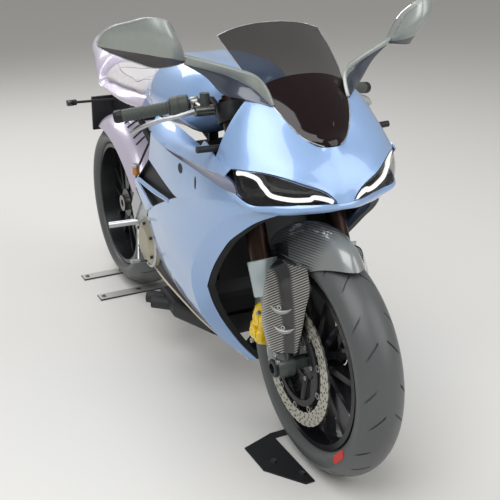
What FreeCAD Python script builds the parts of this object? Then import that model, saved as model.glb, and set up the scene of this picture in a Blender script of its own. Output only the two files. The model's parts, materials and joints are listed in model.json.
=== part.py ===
"""Sport bike, upright on its display stand, built as separate pieces in millimetres.

+X points forward, +Y to the bike's left and +Z up. The floor is z = 0, and x = 0 is
halfway between the front of the front tyre and the back of the rear tyre.
"""
import FreeCAD, Part
import math
import os
from FreeCAD import Base

# Wheels and steering geometry
WHEELBASE = 1400.0
FRONT_TYRE_R = 300.0
FRONT_TYRE_W = 120.0
FRONT_RIM_R = FRONT_TYRE_R - 74.0
FRONT_RIM_W = 96.0
REAR_TYRE_R = 316.0
REAR_TYRE_W = 190.0
REAR_RIM_R = REAR_TYRE_R - 88.0
REAR_RIM_W = 154.0
RIM_WALL = 7.0
RAKE_DEG = 24.0
TRAIL = 98.0

# Front fork, brakes and axle
FORK_SPREAD = 224.0
FORK_TUBE_R = 27.0
FORK_LEG_R = 22.0
FORK_TUBE_FOOT_Z = FRONT_TYRE_R + 220.0
FORK_COLLAR_R = 33.0
LOWER_YOKE_Z = 712.0
UPPER_YOKE_Z = 872.0
FORK_TOP_Z = UPPER_YOKE_Z + 36.0
YOKE_T = 28.0
STEM_R = 16.0
HEAD_TUBE_R = 30.0
FRONT_AXLE_R = 12.5
FRONT_AXLE_BORE_R = 8.5
FRONT_DISC_R = 160.0
FRONT_DISC_Y = 75.0
DISC_T = 5.0
DISC_BAND = 36.0
REAR_DISC_R = 122.0
REAR_DISC_Y = 30.0

# Rear end
REAR_AXLE_R = 20.0
REAR_AXLE_BORE_R = 14.0
PIVOT_BEHIND_FRONT_AXLE = 850.0
PIVOT_Z = 400.0
PIVOT_PIN_R = 12.0
LUG_INNER_Y = 74.0
LUG_T = 24.0
FRONT_SPROCKET_AHEAD = 62.0
ARM_INNER_Y = 102.0
ARM_W = 30.0
HUB_HOUSING_R = 72.0
CHAIN_Y = 142.0
CHAIN_PITCH = 15.875
REAR_TEETH = 42
FRONT_TEETH = 15
CHAIN_H = 14.0
CHAIN_W = 16.0

# Engine bay: the room that the front tyre needs in front of the radiator and engine
RADIATOR_BEHIND_TYRE = 38.0
RADIATOR_W = 256.0
ENGINE_BEHIND_TYRE = 110.0

# Bars, panels and running clearances
BAR_R = 11.0
GRIP_R = 17.0
BAR_END_Y = 368.0
PANEL_T = 4.0
SCREEN_T = 3.0
RUN_GAP = 0.1
SEAT_GAP = 0.3
TOOTH_GAP = 1.2
RESERVOIR_R = 16.0
RESERVOIR_H = 36.0
ROLLER_R = 5.0

# Number plate: how far its foot stands ahead of the tyre's rear edge and below the tyre's top
PLATE_AHEAD_OF_TYRE = 110.0
PLATE_BELOW_TYRE = 72.0
PLATE_W = 184.0

# Display stand
STAND_BAR_W = 50.0
STAND_BAR_T = 5.0
STAND_HALF = 215.0
STAND_LEFT = 260.0
STAND_BAR_AHEAD = 120.0
STAND_BAR_BEHIND = 100.0
FLOOR_PLATE_T = 4.0

# Side stand
SIDE_STAND_L = 205.0

FRONT_X = (WHEELBASE + REAR_TYRE_R - FRONT_TYRE_R) / 2
REAR_X = FRONT_X - WHEELBASE
RAKE = math.radians(RAKE_DEG)
STEER_UP = Base.Vector(-math.sin(RAKE), 0, math.cos(RAKE))
STEER_FOOT_X = FRONT_X + TRAIL
AXLE_OFFSET = FRONT_TYRE_R * math.sin(RAKE) - TRAIL * math.cos(RAKE)
REAR_SPROCKET_R = CHAIN_PITCH / (2 * math.sin(math.pi / REAR_TEETH))
FRONT_SPROCKET_R = CHAIN_PITCH / (2 * math.sin(math.pi / FRONT_TEETH))
PIVOT_X = FRONT_X - PIVOT_BEHIND_FRONT_AXLE

Y_AXIS = Base.Vector(0, 1, 0)


def vec(x, y, z):
    return Base.Vector(x, y, z)


def ahead(x, y, z):
    """A point given from the front axle's line: x is measured ahead of it."""
    return Base.Vector(FRONT_X + x, y, z)


def from_rear(x, y, z):
    """A point given from the rear axle's line: x is measured ahead of it."""
    return Base.Vector(REAR_X + x, y, z)


def rod(a, b, r):
    """A round bar from a to b."""
    run = b.sub(a)
    return Part.makeCylinder(r, run.Length, a, run)


def block(low, high):
    size = high.sub(low)
    return Part.makeBox(size.x, size.y, size.z, low)


def turned(hub, turn_deg, r, y):
    """A point at radius r round an axle, at an angle up from level ahead."""
    turn = math.radians(turn_deg)
    return vec(hub.x + r * math.cos(turn), y, hub.z + r * math.sin(turn))


def mirrored(shape):
    """The same piece on the other side of the bike."""
    return shape.mirror(Base.Vector(0, 0, 0), Y_AXIS)


def both_sides(shape):
    return [shape, mirrored(shape)]


def joined(shapes):
    whole = shapes[0]
    if len(shapes) > 1:
        whole = whole.multiFuse(shapes[1:])
    return whole.removeSplitter()


def held(a, b, r, panels):
    """A round bar from a towards b that ends on the first panel it meets."""
    pieces = without(rod(a, b, r), panels).Solids
    return min(pieces, key=lambda piece: piece.BoundBox.Center.sub(a).Length)


def without(shape, others):
    for other in others:
        shape = shape.cut(other)
    return shape


def ring_outline(points):
    """A closed wire through the points by straight lines."""
    return Part.makePolygon(list(points) + [points[0]])


def plate(points, thickness):
    """A flat plate: its outline's points lie in one plane, and it is thick along Y."""
    return Part.Face(ring_outline(points)).extrude(vec(0, thickness, 0))


def revolved(profile, centre, axis=Y_AXIS):
    """Turn a profile of (radius, along the axis) points about an axle along Y."""
    points = [vec(centre.x, centre.y + along, centre.z + radius) for radius, along in profile]
    face = Part.Face(ring_outline(points))
    return face.revolve(centre, axis, 360)


def rounded_wire(corners):
    """A closed wire through (point, radius) corners, each rounded by an arc."""
    count = len(corners)
    spans = []
    for i in range(count):
        point, radius = corners[i]
        back = corners[i - 1][0].sub(point)
        on = corners[(i + 1) % count][0].sub(point)
        back_n = vec(back.x, back.y, back.z).normalize()
        on_n = vec(on.x, on.y, on.z).normalize()
        half = back_n.getAngle(on_n) / 2
        reach = min(radius / math.tan(half), 0.45 * back.Length, 0.45 * on.Length)
        radius = reach * math.tan(half)
        start = point.add(back_n * reach)
        end = point.add(on_n * reach)
        middle = back_n.add(on_n).normalize() * (radius / math.sin(half) - radius)
        spans.append((start, point.add(middle), end))
    edges = []
    for i in range(count):
        start, middle, end = spans[i]
        edges.append(Part.Arc(start, middle, end).toShape())
        edges.append(Part.LineSegment(end, spans[(i + 1) % count][0]).toShape())
    return Part.Wire(edges)


def lofted(wires):
    return Part.makeLoft(wires, True, True)


def skin(grids, thickness):
    """A panel of even thickness over grids of points that may share their edges.

    Each grid is a list of rows of points, seen from outside with its rows running down
    and its columns to the right. Straight ruled patches join the points.
    """
    index = {}
    points = []
    quads = []

    def number(p):
        key = (round(p.x, 2), round(p.y, 2), round(p.z, 2))
        if key not in index:
            index[key] = len(points)
            points.append(p)
        return index[key]

    for grid in grids:
        for upper, lower in zip(grid, grid[1:]):
            for i in range(len(upper) - 1):
                corners = [number(p) for p in (upper[i], lower[i], lower[i + 1], upper[i + 1])]
                corners = [c for c, before in zip(corners, corners[-1:] + corners[:-1]) if c != before]
                if len(corners) > 2:
                    quads.append(corners)
    normals = [vec(0, 0, 0) for _ in points]
    edge_use = {}
    for quad in quads:
        a, b, c, d = [points[i] for i in quad + quad[:4 - len(quad)]]
        normal = c.sub(a).cross(d.sub(b)) if len(quad) == 4 else b.sub(a).cross(c.sub(a))
        for i in quad:
            normals[i] = normals[i].add(normal)
        for i, j in zip(quad, quad[1:] + quad[:1]):
            edge_use[(min(i, j), max(i, j))] = edge_use.get((min(i, j), max(i, j)), 0) + 1
    inner = [p.sub(n.normalize() * thickness) for p, n in zip(points, normals)]

    def patch(a, b, c, d=None):
        if d is None:
            return Part.Face(ring_outline([a, b, c]))
        return Part.makeRuledSurface(Part.makeLine(a, b), Part.makeLine(d, c), 1)

    faces = []
    for quad in quads:
        faces.append(patch(*[points[i] for i in quad]))
        faces.append(patch(*[inner[i] for i in reversed(quad)]))
    for (i, j), uses in edge_use.items():
        if uses == 1:
            faces.append(patch(points[i], points[j], inner[j], inner[i]))
    shell = Part.makeShell(faces)
    shell.sewShape()
    solid = Part.Solid(Part.Shell(shell.Faces))
    if solid.Volume < 0:
        solid.reverse()
    return solid


def shell_of(rings):
    """A solid inside rings of points that follow one another, closed by a fan at each end."""
    def patch(a, b, c, d):
        return Part.makeRuledSurface(Part.makeLine(a, b), Part.makeLine(d, c), 1)

    faces = []
    for ring, after in zip(rings, rings[1:]):
        for i in range(len(ring)):
            faces.append(patch(ring[i - 1], ring[i], after[i], after[i - 1]))
    for ring in (rings[0], rings[-1]):
        for i in range(1, len(ring) - 1):
            faces.append(Part.Face(ring_outline([ring[0], ring[i], ring[i + 1]])))
    shell = Part.makeShell(faces)
    shell.sewShape()
    solid = Part.Solid(Part.Shell(shell.Faces))
    if solid.Volume < 0:
        solid.reverse()
    return solid


def steering_point(z, forward=0.0, side=0.0):
    """A point by its height on the steering axis, then forward at right angles to it, and aside."""
    foot = vec(STEER_FOOT_X, 0, 0)
    on_axis = foot.add(STEER_UP * (z / STEER_UP.z))
    normal = vec(math.cos(RAKE), 0, math.sin(RAKE))
    return on_axis.add(normal * forward).add(vec(0, side, 0))


FRONT_HUB = vec(FRONT_X, 0, FRONT_TYRE_R)
REAR_HUB = vec(REAR_X, 0, REAR_TYRE_R)


# Wheels

def tyre(hub, radius, width, rim_r, rim_w):
    """A tyre's cross-section is a crowned tread, two bulged sidewalls and the beads."""
    half = width / 2
    shoulder_r = radius - 0.30 * width
    bead = rim_w / 2 - RIM_WALL

    def at(r, y):
        return vec(hub.x, y, hub.z + r)

    inner_r = rim_r + 1.0
    edges = [
        Part.Arc(at(shoulder_r, -half), at(radius, 0), at(shoulder_r, half)).toShape(),
        Part.Arc(at(shoulder_r, half), at((shoulder_r + inner_r) / 2, half * 0.99),
                 at(inner_r, bead)).toShape(),
        Part.LineSegment(at(inner_r, bead), at(inner_r, -bead)).toShape(),
        Part.Arc(at(inner_r, -bead), at((shoulder_r + inner_r) / 2, -half * 0.99),
                 at(shoulder_r, -half)).toShape(),
    ]
    return Part.Face(Part.Wire(edges)).revolve(hub, Y_AXIS, 360)


def rim_barrel(hub, rim_r, rim_w):
    """The rim's barrel has a flange on each side and a drop in the middle."""
    half = rim_w / 2
    wall = RIM_WALL
    profile = [(rim_r - 14, -half), (rim_r, -half), (rim_r, -half + wall), (rim_r - 8, -half + wall),
               (rim_r - 16, -0.2 * half), (rim_r - 16, 0.2 * half), (rim_r - 8, half - wall),
               (rim_r, half - wall), (rim_r, half), (rim_r - 14, half),
               (rim_r - 24, 0.25 * half), (rim_r - 24, -0.25 * half)]
    return revolved(profile, hub)


def spokes(hub, hub_r, outer_r, y_hub, y_rim, count, width, depth):
    """Pairs of thin spokes in a Y: each pair leaves the hub together and parts at the rim."""
    whole = []
    spread = math.radians(360.0 / count * 0.27)
    for i in range(count):
        turn = 2 * math.pi * i / count + math.pi / 2
        for side in (-1, 1):
            foot_turn = turn + side * spread * 0.18
            head_turn = turn + side * spread

            def section(r, angle, y, w, d):
                out = vec(math.cos(angle), 0, math.sin(angle))
                across = vec(-math.sin(angle), 0, math.cos(angle))
                centre = vec(hub.x, y, hub.z).add(out * r)
                return ring_outline([centre.add(across * (s * w / 2)).add(vec(0, t * d / 2, 0))
                                     for s, t in ((-1, -1), (1, -1), (1, 1), (-1, 1))])
            whole.append(lofted([section(hub_r - 4, foot_turn, y_hub, width * 1.3, depth * 1.3),
                                 section(outer_r, head_turn, y_rim, width, depth)]))
    return whole


def front_wheel_rim():
    hub_r, half = 34.0, 50.0
    barrel = rim_barrel(FRONT_HUB, FRONT_RIM_R, FRONT_RIM_W)
    hub = revolved([(FRONT_AXLE_R + RUN_GAP, -half), (hub_r, -half), (hub_r, half),
                    (FRONT_AXLE_R + RUN_GAP, half)], FRONT_HUB)
    arms = spokes(FRONT_HUB, hub_r, FRONT_RIM_R - 18, 0, 0, 7, 15, 26)
    return joined([barrel, hub] + arms)


def rear_wheel_rim():
    """The wheel's dish faces right, and its centre seats on the hub at the left."""
    hub_r, inner, outer = 52.0, -44.0, 4.0
    barrel = rim_barrel(REAR_HUB, REAR_RIM_R, REAR_RIM_W)
    hub = revolved([(REAR_AXLE_R, inner), (hub_r, inner), (hub_r, outer), (REAR_AXLE_R, outer)],
                   REAR_HUB)
    arms = spokes(REAR_HUB, hub_r, REAR_RIM_R - 18, -20, -8, 7, 17, 30)
    return joined([barrel, hub] + arms)


def brake_disc(hub, y, radius, band, carrier_foot):
    """A flat rotor band, carried by short arms on a dished carrier."""
    rotor = revolved([(radius - band, y - DISC_T / 2), (radius, y - DISC_T / 2),
                      (radius, y + DISC_T / 2), (radius - band, y + DISC_T / 2)], hub)
    carrier_r = radius - band - 14
    carrier = revolved([(carrier_r - 16, y - DISC_T / 2), (carrier_r, y - DISC_T / 2),
                        (carrier_r, y + DISC_T / 2), (carrier_r - 16, y + DISC_T / 2)], hub)
    arms = []
    for i in range(10):
        turn = 2 * math.pi * (i + 0.5) / 10
        out = vec(math.cos(turn), 0, math.sin(turn))
        centre = vec(hub.x, y, hub.z)
        arms.append(rod(centre.add(out * (carrier_r - 6)), centre.add(out * (radius - band + 5)), 5.0))
    webs = []
    for i in range(5):
        turn = 2 * math.pi * i / 5
        out = vec(math.cos(turn), 0, math.sin(turn))
        across = vec(-math.sin(turn), 0, math.cos(turn))
        foot = vec(hub.x, carrier_foot, hub.z)
        rim = vec(hub.x, y, hub.z)

        def section(centre, r, w):
            mid = centre.add(out * r)
            return ring_outline([mid.add(across * (s * w / 2)).add(vec(0, t * DISC_T / 2, 0))
                                 for s, t in ((-1, -1), (1, -1), (1, 1), (-1, 1))])
        webs.append(lofted([section(foot, 42, 30), section(rim, carrier_r - 8, 18)]))
    foot_ring = revolved([(37, carrier_foot - DISC_T / 2), (50, carrier_foot - DISC_T / 2),
                          (50, carrier_foot + DISC_T / 2), (37, carrier_foot + DISC_T / 2)], hub)
    return joined([rotor, carrier, foot_ring] + arms + webs)


# Steering assembly

def yokes():
    pieces = []
    for z, forward in ((LOWER_YOKE_Z, AXLE_OFFSET), (UPPER_YOKE_Z, AXLE_OFFSET)):
        centre = steering_point(z)
        side = FORK_SPREAD / 2
        legs = [rod(fork_at(z, s * side, -YOKE_T / 2), fork_at(z, s * side, YOKE_T / 2),
                    FORK_TUBE_R + 11) for s in (-1, 1)]
        corners = [steering_point(z, a, b) for a, b in
                   ((-26, -24), (-26, 24), (forward - 24, side), (forward + 22, side),
                    (forward + 8, 0), (forward + 22, -side), (forward - 24, -side))]
        low = [p.sub(STEER_UP * (YOKE_T / 2)) for p in corners]
        slab = Part.Face(ring_outline(low)).extrude(STEER_UP * YOKE_T)
        pieces.append(joined([slab] + legs + [rod(centre.sub(STEER_UP * (YOKE_T / 2)),
                                                  centre.add(STEER_UP * (YOKE_T / 2)), 26)]))
    stem = rod(steering_point(LOWER_YOKE_Z), steering_point(UPPER_YOKE_Z), STEM_R)
    whole = joined(pieces + [stem])
    for s in (-1, 1):
        side = s * FORK_SPREAD / 2
        whole = whole.cut(rod(fork_at(LOWER_YOKE_Z, side, -60), fork_at(UPPER_YOKE_Z, side, 60),
                              FORK_TUBE_R))
    return whole


def fork_at(z, side, along=0.0):
    """A point level with a yoke at height z, on a fork leg's centre line, and along it."""
    return steering_point(z, AXLE_OFFSET, side).add(STEER_UP * along)


def fork_height(z):
    """The centre line point of a fork leg at the true height z."""
    return (z - FRONT_TYRE_R) / math.cos(RAKE)


def leg_point(z, side, along=0.0):
    base = vec(FRONT_X, side, FRONT_TYRE_R)
    return base.add(STEER_UP * (fork_height(z) + along))


def fork_tubes():
    tubes = []
    for s in (-1, 1):
        side = s * FORK_SPREAD / 2
        outer = rod(leg_point(FORK_TUBE_FOOT_Z, side), leg_point(FORK_TOP_Z, side), FORK_TUBE_R)
        collar = rod(leg_point(FORK_TUBE_FOOT_Z - 58, side), leg_point(FORK_TUBE_FOOT_Z, side),
                     FORK_COLLAR_R)
        cap = rod(leg_point(FORK_TOP_Z, side), leg_point(FORK_TOP_Z, side, 9), FORK_TUBE_R - 9)
        bore = rod(leg_point(FORK_TUBE_FOOT_Z - 70, side), leg_point(FORK_TUBE_FOOT_Z + 60, side),
                   FORK_LEG_R)
        tubes.append(joined([outer, collar, cap]).cut(bore))
    return tubes


def fork_legs():
    """The bright lower legs, their axle clamps and caliper lugs, with the axle through both."""
    pieces = []
    for s in (-1, 1):
        side = s * FORK_SPREAD / 2
        leg = rod(leg_point(FRONT_TYRE_R, side, 30), leg_point(FORK_TUBE_FOOT_Z + 60, side), FORK_LEG_R)
        clamp = rod(vec(FRONT_X, side - 22, FRONT_TYRE_R), vec(FRONT_X, side + 22, FRONT_TYRE_R), 29)
        neck = rod(leg_point(FRONT_TYRE_R, side, -4), leg_point(FRONT_TYRE_R, side, 88), 26)
        lug_back = [FRONT_HUB.add(vec(x, side - 9, z)) for x, z in
                    ((-30, 0), (-12, 45), (-50, 118), (-84, 132), (-88, 118), (-62, 30), (-60, -4))]
        lug = plate(lug_back, 18)
        pieces += [leg, clamp, neck, lug]
    side = FORK_SPREAD / 2
    axle = rod(vec(FRONT_X, -side - 30, FRONT_TYRE_R), vec(FRONT_X, side + 30, FRONT_TYRE_R),
               FRONT_AXLE_R)
    spacer = [rod(vec(FRONT_X, s * 50.3, FRONT_TYRE_R), vec(FRONT_X, s * (side - 20), FRONT_TYRE_R), 17)
              for s in (-1, 1)]
    bore = rod(vec(FRONT_X, -side - 31, FRONT_TYRE_R), vec(FRONT_X, side + 31, FRONT_TYRE_R),
               FRONT_AXLE_BORE_R)
    return joined(pieces + [axle] + spacer).cut(bore)


CALIPER_TURN_DEG = 152.0


def front_calipers():
    """Each caliper straddles its disc on the leg's trailing side."""
    shapes = []
    turn = math.radians(CALIPER_TURN_DEG)
    out = vec(math.cos(turn), 0, math.sin(turn))
    along = vec(-math.sin(turn), 0, math.cos(turn))
    for s in (-1, 1):
        y = s * FRONT_DISC_Y
        centre = vec(FRONT_X, y, FRONT_TYRE_R).add(out * (FRONT_DISC_R - 16))

        def body(half_long, half_out, y_low, y_high, shift):
            mid = centre.add(out * shift)
            corners = [mid.add(along * (a * half_long)).add(out * (b * half_out))
                       for a, b in ((-1, -1), (-0.8, 1), (0.8, 1), (1, -1))]
            low = [vec(p.x, y_low, p.z) for p in corners]
            return Part.Face(ring_outline(low)).extrude(vec(0, y_high - y_low, 0))
        lows = sorted((y - s * 20, y + s * 42))
        whole = body(62, 30, lows[0], lows[1], 4)
        slot = revolved([(FRONT_DISC_R - DISC_BAND - 40, y - 5.5), (FRONT_DISC_R + 4, y - 5.5),
                         (FRONT_DISC_R + 4, y + 5.5), (FRONT_DISC_R - DISC_BAND - 40, y + 5.5)],
                        FRONT_HUB)
        shapes.append(whole.cut(slot))
    return shapes


def clip_on(s):
    """One handlebar half: a clamp round the fork tube and a bar that sweeps back and down."""
    side = s * FORK_SPREAD / 2
    clamp = rod(fork_at(UPPER_YOKE_Z, side, -50), fork_at(UPPER_YOKE_Z, side, -20), FORK_TUBE_R + 9)
    start, end = bar_start(s), bar_end(s)
    along = end.sub(start).normalize()
    lug = rod(start.sub(vec(0, s * 12, 0)), start.add(along * 26), 16)
    weight = rod(end, end.add(along * 22), 15)
    hole = rod(fork_at(UPPER_YOKE_Z, side, -60), fork_at(UPPER_YOKE_Z, side, -10), FORK_TUBE_R)
    return joined([clamp, lug, rod(start, end, BAR_R), weight]).cut(hole)


def bar_start(s):
    return fork_at(UPPER_YOKE_Z, s * FORK_SPREAD / 2, -35).add(vec(6, s * 34, 0))


def bar_end(s):
    return ahead(-382, s * BAR_END_Y, 868)


def bar_at(s, share):
    a, b = bar_start(s), bar_end(s)
    return a.add(b.sub(a) * share)


def grips():
    return [rod(bar_at(s, 0.50), bar_at(s, 0.985), GRIP_R).cut(rod(bar_at(s, 0.3), bar_at(s, 1.0), BAR_R))
            for s in (-1, 1)]


def switchgear():
    """Switch housings round the bars, with a master cylinder ahead of each."""
    shapes = []
    for s in (-1, 1):
        house = rod(bar_at(s, 0.345), bar_at(s, 0.49), 23)
        perch = rod(bar_at(s, 0.20), bar_at(s, 0.30), 17)
        mid = bar_at(s, 0.25)
        arm = rod(mid, mid.add(vec(40, 0, -2)), 11)
        cylinder = rod(mid.add(vec(44, -s * 20, -2)), mid.add(vec(42, s * 30, -4)), 13)
        bridge = rod(bar_at(s, 0.28), bar_at(s, 0.36), 15)
        whole = joined([house, perch, arm, cylinder, bridge])
        shapes.append(whole.cut(rod(bar_at(s, 0.0), bar_at(s, 0.99), BAR_R)))
    return shapes


def levers():
    shapes = []
    for s in (-1, 1):
        root = bar_at(s, 0.25).add(vec(43, s * 44, -4))
        elbow = bar_at(s, 0.52).add(vec(62, 0, -4))
        tip = bar_at(s, 0.98).add(vec(48, 0, -4))
        lever = joined([rod(root, elbow, 6), rod(elbow, tip, 6), Part.makeSphere(6, elbow),
                        Part.makeSphere(8.5, tip), rod(root.sub(vec(0, s * 13.7, 0)), root, 8)])
        shapes.append(lever)
    return shapes


# Front mudguard: turn about the axle from level ahead, its radius, half width and edge drop
MUDGUARD_TABLE = [
    # turn on the centre line, turn at the edge, lift over the tread, half_width, edge's drop below it
    (61, 78, 18, 66, 36),
    (67, 85, 36, 68, 40),
    (77, 93, 46, 70, 42),
    (91, 102, 44, 72, 36),
    (108, 113, 40, 71, 24),
    (124, 125, 38, 66, 4),
]


def front_mudguard(tubes):
    """A short shell over the tyre, held on the fork tubes by a tab and a pin each side."""
    rows = []
    for turn, edge_turn, lift, half, drop in MUDGUARD_TABLE:
        row = []
        for u in (-1.0, -0.78, -0.42, 0.0, 0.42, 0.78, 1.0):
            r = FRONT_TYRE_R + lift - (lift + drop) * abs(u) ** 2.2
            row.append(turned(FRONT_HUB, turn + (edge_turn - turn) * u * u, r, u * half))
        rows.append(row)
    pieces = [skin([rows], 3.0)]
    for s in (-1, 1):
        side = s * FORK_SPREAD / 2
        low = s * 71 if s < 0 else s * 71 - 4
        tab = [turned(FRONT_HUB, turn, FRONT_TYRE_R + lift, low)
               for turn, lift in ((120.4, -3), (103.5, 0), (99.5, -34), (118.6, -49))]
        pieces.append(plate(tab, 4))
        pin = FRONT_HUB.add(STEER_UP * (FRONT_TYRE_R - 26))
        pieces.append(held(vec(pin.x, s * 71, pin.z), vec(pin.x, side, pin.z), 8, tubes))
    return joined(pieces)


# Brake duct: at each height over the axle its (ahead, half width) points from the outer wall inwards
DUCT_TABLE = [
    (266, (-60, 118), (-3, 120), (30, 97), (54, 76), (10, 75)),
    (245, (-62, 142), (-14, 140), (28, 106), (60, 74), (10, 74)),
    (211, (-74, 152), (-29, 150), (20, 112), (61, 72), (5, 71)),
    (170, (-70, 153), (-20, 151), (24, 114), (58, 80), (5, 80)),
    (120, (-56, 150), (-6, 148), (28, 116), (53, 86), (5, 86)),
    (50, (-30, 140), (12, 140), (30, 118), (43, 94), (10, 92)),
]


def brake_ducts():
    rows = [[FRONT_HUB.add(vec(x, -half, z)) for x, half in line] for z, *line in DUCT_TABLE]
    duct = skin([rows], 3.0)
    foot = leg_point(FRONT_TYRE_R + 100, -FORK_SPREAD / 2)
    stay = rod(foot, foot.add(vec(74, 0, 0)), 7)
    leg = rod(leg_point(FRONT_TYRE_R, -FORK_SPREAD / 2, 60),
              leg_point(FRONT_TYRE_R + 260, -FORK_SPREAD / 2), 26.05)
    whole = joined([duct, without(stay, [leg])])
    return both_sides(whole)


# Body panels. Points are (ahead of the front axle, half width, height).

UPPER_FAIRING_SPOKES = [
    # from the screen's edge out to the nose, the lamp, the brow and the notch for the hand
    ((42, 0, 841), (66, 0, 808), (89, 0, 768), (100, 0, 727)),
    ((30, 28, 842), (56, 46, 813), (82, 38, 782), (94, 34, 751)),
    ((15, 50, 853), (40, 76, 815), (60, 92, 796), (71, 102, 774)),
    ((-4, 66, 870), (18, 94, 839), (25, 140, 818), (16, 166, 797)),
    ((-28, 84, 896), (-12, 108, 868), (-20, 166, 843), (-14, 196, 799)),
    ((-56, 96, 920), (-48, 124, 902), (-60, 184, 866), (-44, 214, 800)),
    ((-84, 106, 942), (-80, 142, 924), (-92, 194, 869), (-80, 218, 805)),
    ((-112, 115, 958), (-108, 148, 932), (-107, 198, 868), (-122, 216, 811)),
]

CHIN_TABLE = [
    # upper edge, lip, lower edge and underside, from the centre line out to the lamp's corner
    ((99, 0, 725), (102, 0, 719), (95, 0, 711), (60, 0, 708)),
    ((97, 26, 725), (100, 28, 718), (90, 30, 708), (56, 30, 706)),
    ((62, 90, 723), (66, 93, 716), (60, 80, 701), (30, 76, 702)),
    ((33, 130, 722), (37, 134, 714), (28, 130, 697), (0, 118, 700)),
    ((7, 188, 725), (8, 193, 717), (-10, 180, 705), (-34, 160, 706)),
    ((-38, 206, 740), (-42, 214, 737), (-46, 208, 727), (-64, 190, 722)),
]

HEADLAMP_TABLE = [
    # top, middle and bottom of the lens
    ((90, 32, 752), (95, 32, 741), (93, 32, 729)),
    ((71, 102, 774), (72, 92, 752), (61, 90, 727)),
    ((16, 166, 797), (28, 156, 763), (32, 138, 726)),
    ((-14, 196, 799), (4, 194, 764), (6, 190, 728)),
    ((-40, 214, 797), (-32, 212, 771), (-38, 207, 743)),
]

SCREEN_TABLE = [
    # ahead and height at the middle, then ahead, half width and height at the edge
    (41, 843, 35, 21, 842),
    (33, 853, 23, 38, 847),
    (18, 869, 8, 56, 859),
    (-6, 894, -16, 76, 884),
    (-44, 931, -56, 96, 920),
    (-104, 983, -112, 115, 958),
    (-190, 1042, -193, 130, 1012),
    (-276, 1084, -273, 138, 1061),
]

# Side fairing: lines that run round the wheel arch, from the lamp down to the belly's prow
ARCH_LINES = {
    "outer": [(0, 192, 716), (-90, 214, 712), (-180, 221, 690), (-290, 219, 664), (-398, 215, 636),
              (-500, 211, 597), (-624, 205, 545), (-700, 197, 510), (-696, 190, 439),
              (-665, 170, 338), (-511, 110, 226), (-334, 45, 142)],
    "flank": [(5, 184, 708), (-70, 208, 680), (-150, 220, 648), (-240, 225, 612), (-330, 226, 575),
              (-405, 223, 535), (-470, 216, 490), (-512, 206, 450), (-512, 190, 400),
              (-480, 155, 320), (-415, 100, 232), (-331, 42, 144)],
    "crease": [(12, 170, 702), (-50, 190, 668), (-110, 206, 630), (-165, 214, 592), (-215, 217, 558),
               (-262, 216, 526), (-305, 211, 492), (-345, 200, 452), (-384, 180, 396),
               (-378, 140, 320), (-358, 90, 240), (-326, 38, 147)],
    "edge": [(28, 130, 697), (-15, 160, 668), (-60, 180, 628), (-105, 188, 590), (-150, 190, 553),
             (-195, 190, 516), (-245, 186, 476), (-293, 178, 437), (-325, 150, 350),
             (-344, 100, 251), (-335, 62, 195), (-317, 30, 149)],
}
# Lines that run back from the lamp: the shelf, the ridge over the hollow, and the neck over the vent
SHELF_LINES = {
    "shelf": [(-44, 214, 800), (-80, 218, 805), (-122, 216, 811), (-201, 205, 827), (-290, 180, 790),
              (-400, 164, 788), (-510, 158, 796), (-640, 168, 803)],
    "ridge": [(-49, 228, 784), (-90, 230, 782), (-130, 230, 779), (-200, 229, 775), (-294, 225, 768),
              (-404, 219, 760), (-480, 215, 757), (-631, 195, 764)],
    "hollow": [(-38, 205, 741), (-100, 208, 736), (-180, 211, 740), (-290, 213, 745), (-404, 218, 752),
               (-480, 214, 750), (-560, 206, 752), (-634, 195, 755)],
    "neck": ARCH_LINES["outer"][:5] + [(-500, 210, 650), (-580, 204, 664), (-657, 198, 678)],
}
# The vent's pocket: its upper and lower rims from front to back, each with the pocket's floor inside it
VENT_LINES = {
    "upper_rim": SHELF_LINES["neck"][4:],
    "upper_floor": [(-420, 200, 632), (-505, 195, 642), (-582, 189, 654), (-660, 184, 664)],
    "lower_floor": [(-424, 200, 626), (-505, 195, 603), (-625, 190, 556), (-776, 178, 586)],
    "lower_rim": ARCH_LINES["outer"][4:7] + [(-800, 190, 584)],
    "flange_top": [(-624, 205, 545), (-800, 190, 584)],
    "flange_low": [(-700, 197, 510), (-824, 187, 570)],
}


def side_points(line, s=-1):
    return [ahead(x, s * half, z) for x, half, z in reversed(line)]


def side_fairing():
    """The right-hand side panel: shelf, ridge, hollow, vent pocket, flank and a lip round the wheel."""
    arch = [side_points(ARCH_LINES[name]) for name in ("outer", "flank", "crease", "edge")]
    shelf = [side_points(SHELF_LINES[name]) for name in ("shelf", "ridge", "hollow", "neck")]
    vent = [side_points(VENT_LINES[name]) for name in ("upper_rim", "upper_floor", "lower_floor",
                                                       "lower_rim")]
    flange = [side_points(VENT_LINES[name]) for name in ("flange_top", "flange_low")]
    return skin([arch, shelf, vent, flange], PANEL_T)


def upper_fairing():
    right = [side_points(spoke) for spoke in reversed(UPPER_FAIRING_SPOKES)]
    left = [side_points(spoke, 1)[::-1] for spoke in reversed(UPPER_FAIRING_SPOKES)]
    return skin([right, left], PANEL_T)


def chin():
    right = [[ahead(x, -half, z) for x, half, z in row] for row in CHIN_TABLE]
    left = [[ahead(x, half, z) for x, half, z in row] for row in CHIN_TABLE[1:]]
    spans = list(reversed(right)) + left
    return skin([[list(line) for line in zip(*spans)]], PANEL_T)


def headlamp():
    rows = [[ahead(x, -half, z) for x, half, z in row] for row in reversed(HEADLAMP_TABLE)]
    columns = [[row[i] for row in rows] for i in range(3)]
    return skin([columns], 26.0)


def windscreen():
    rows = []
    for mid_x, mid_z, edge_x, half, edge_z in SCREEN_TABLE:
        row = []
        for u in (-1.0, -0.66, -0.33, 0.0, 0.33, 0.66, 1.0):
            row.append(ahead(mid_x + (edge_x - mid_x) * u * u, u * half,
                             mid_z + (edge_z - mid_z) * u * u))
        rows.append(row)
    return skin([list(reversed(rows))], SCREEN_T)


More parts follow.
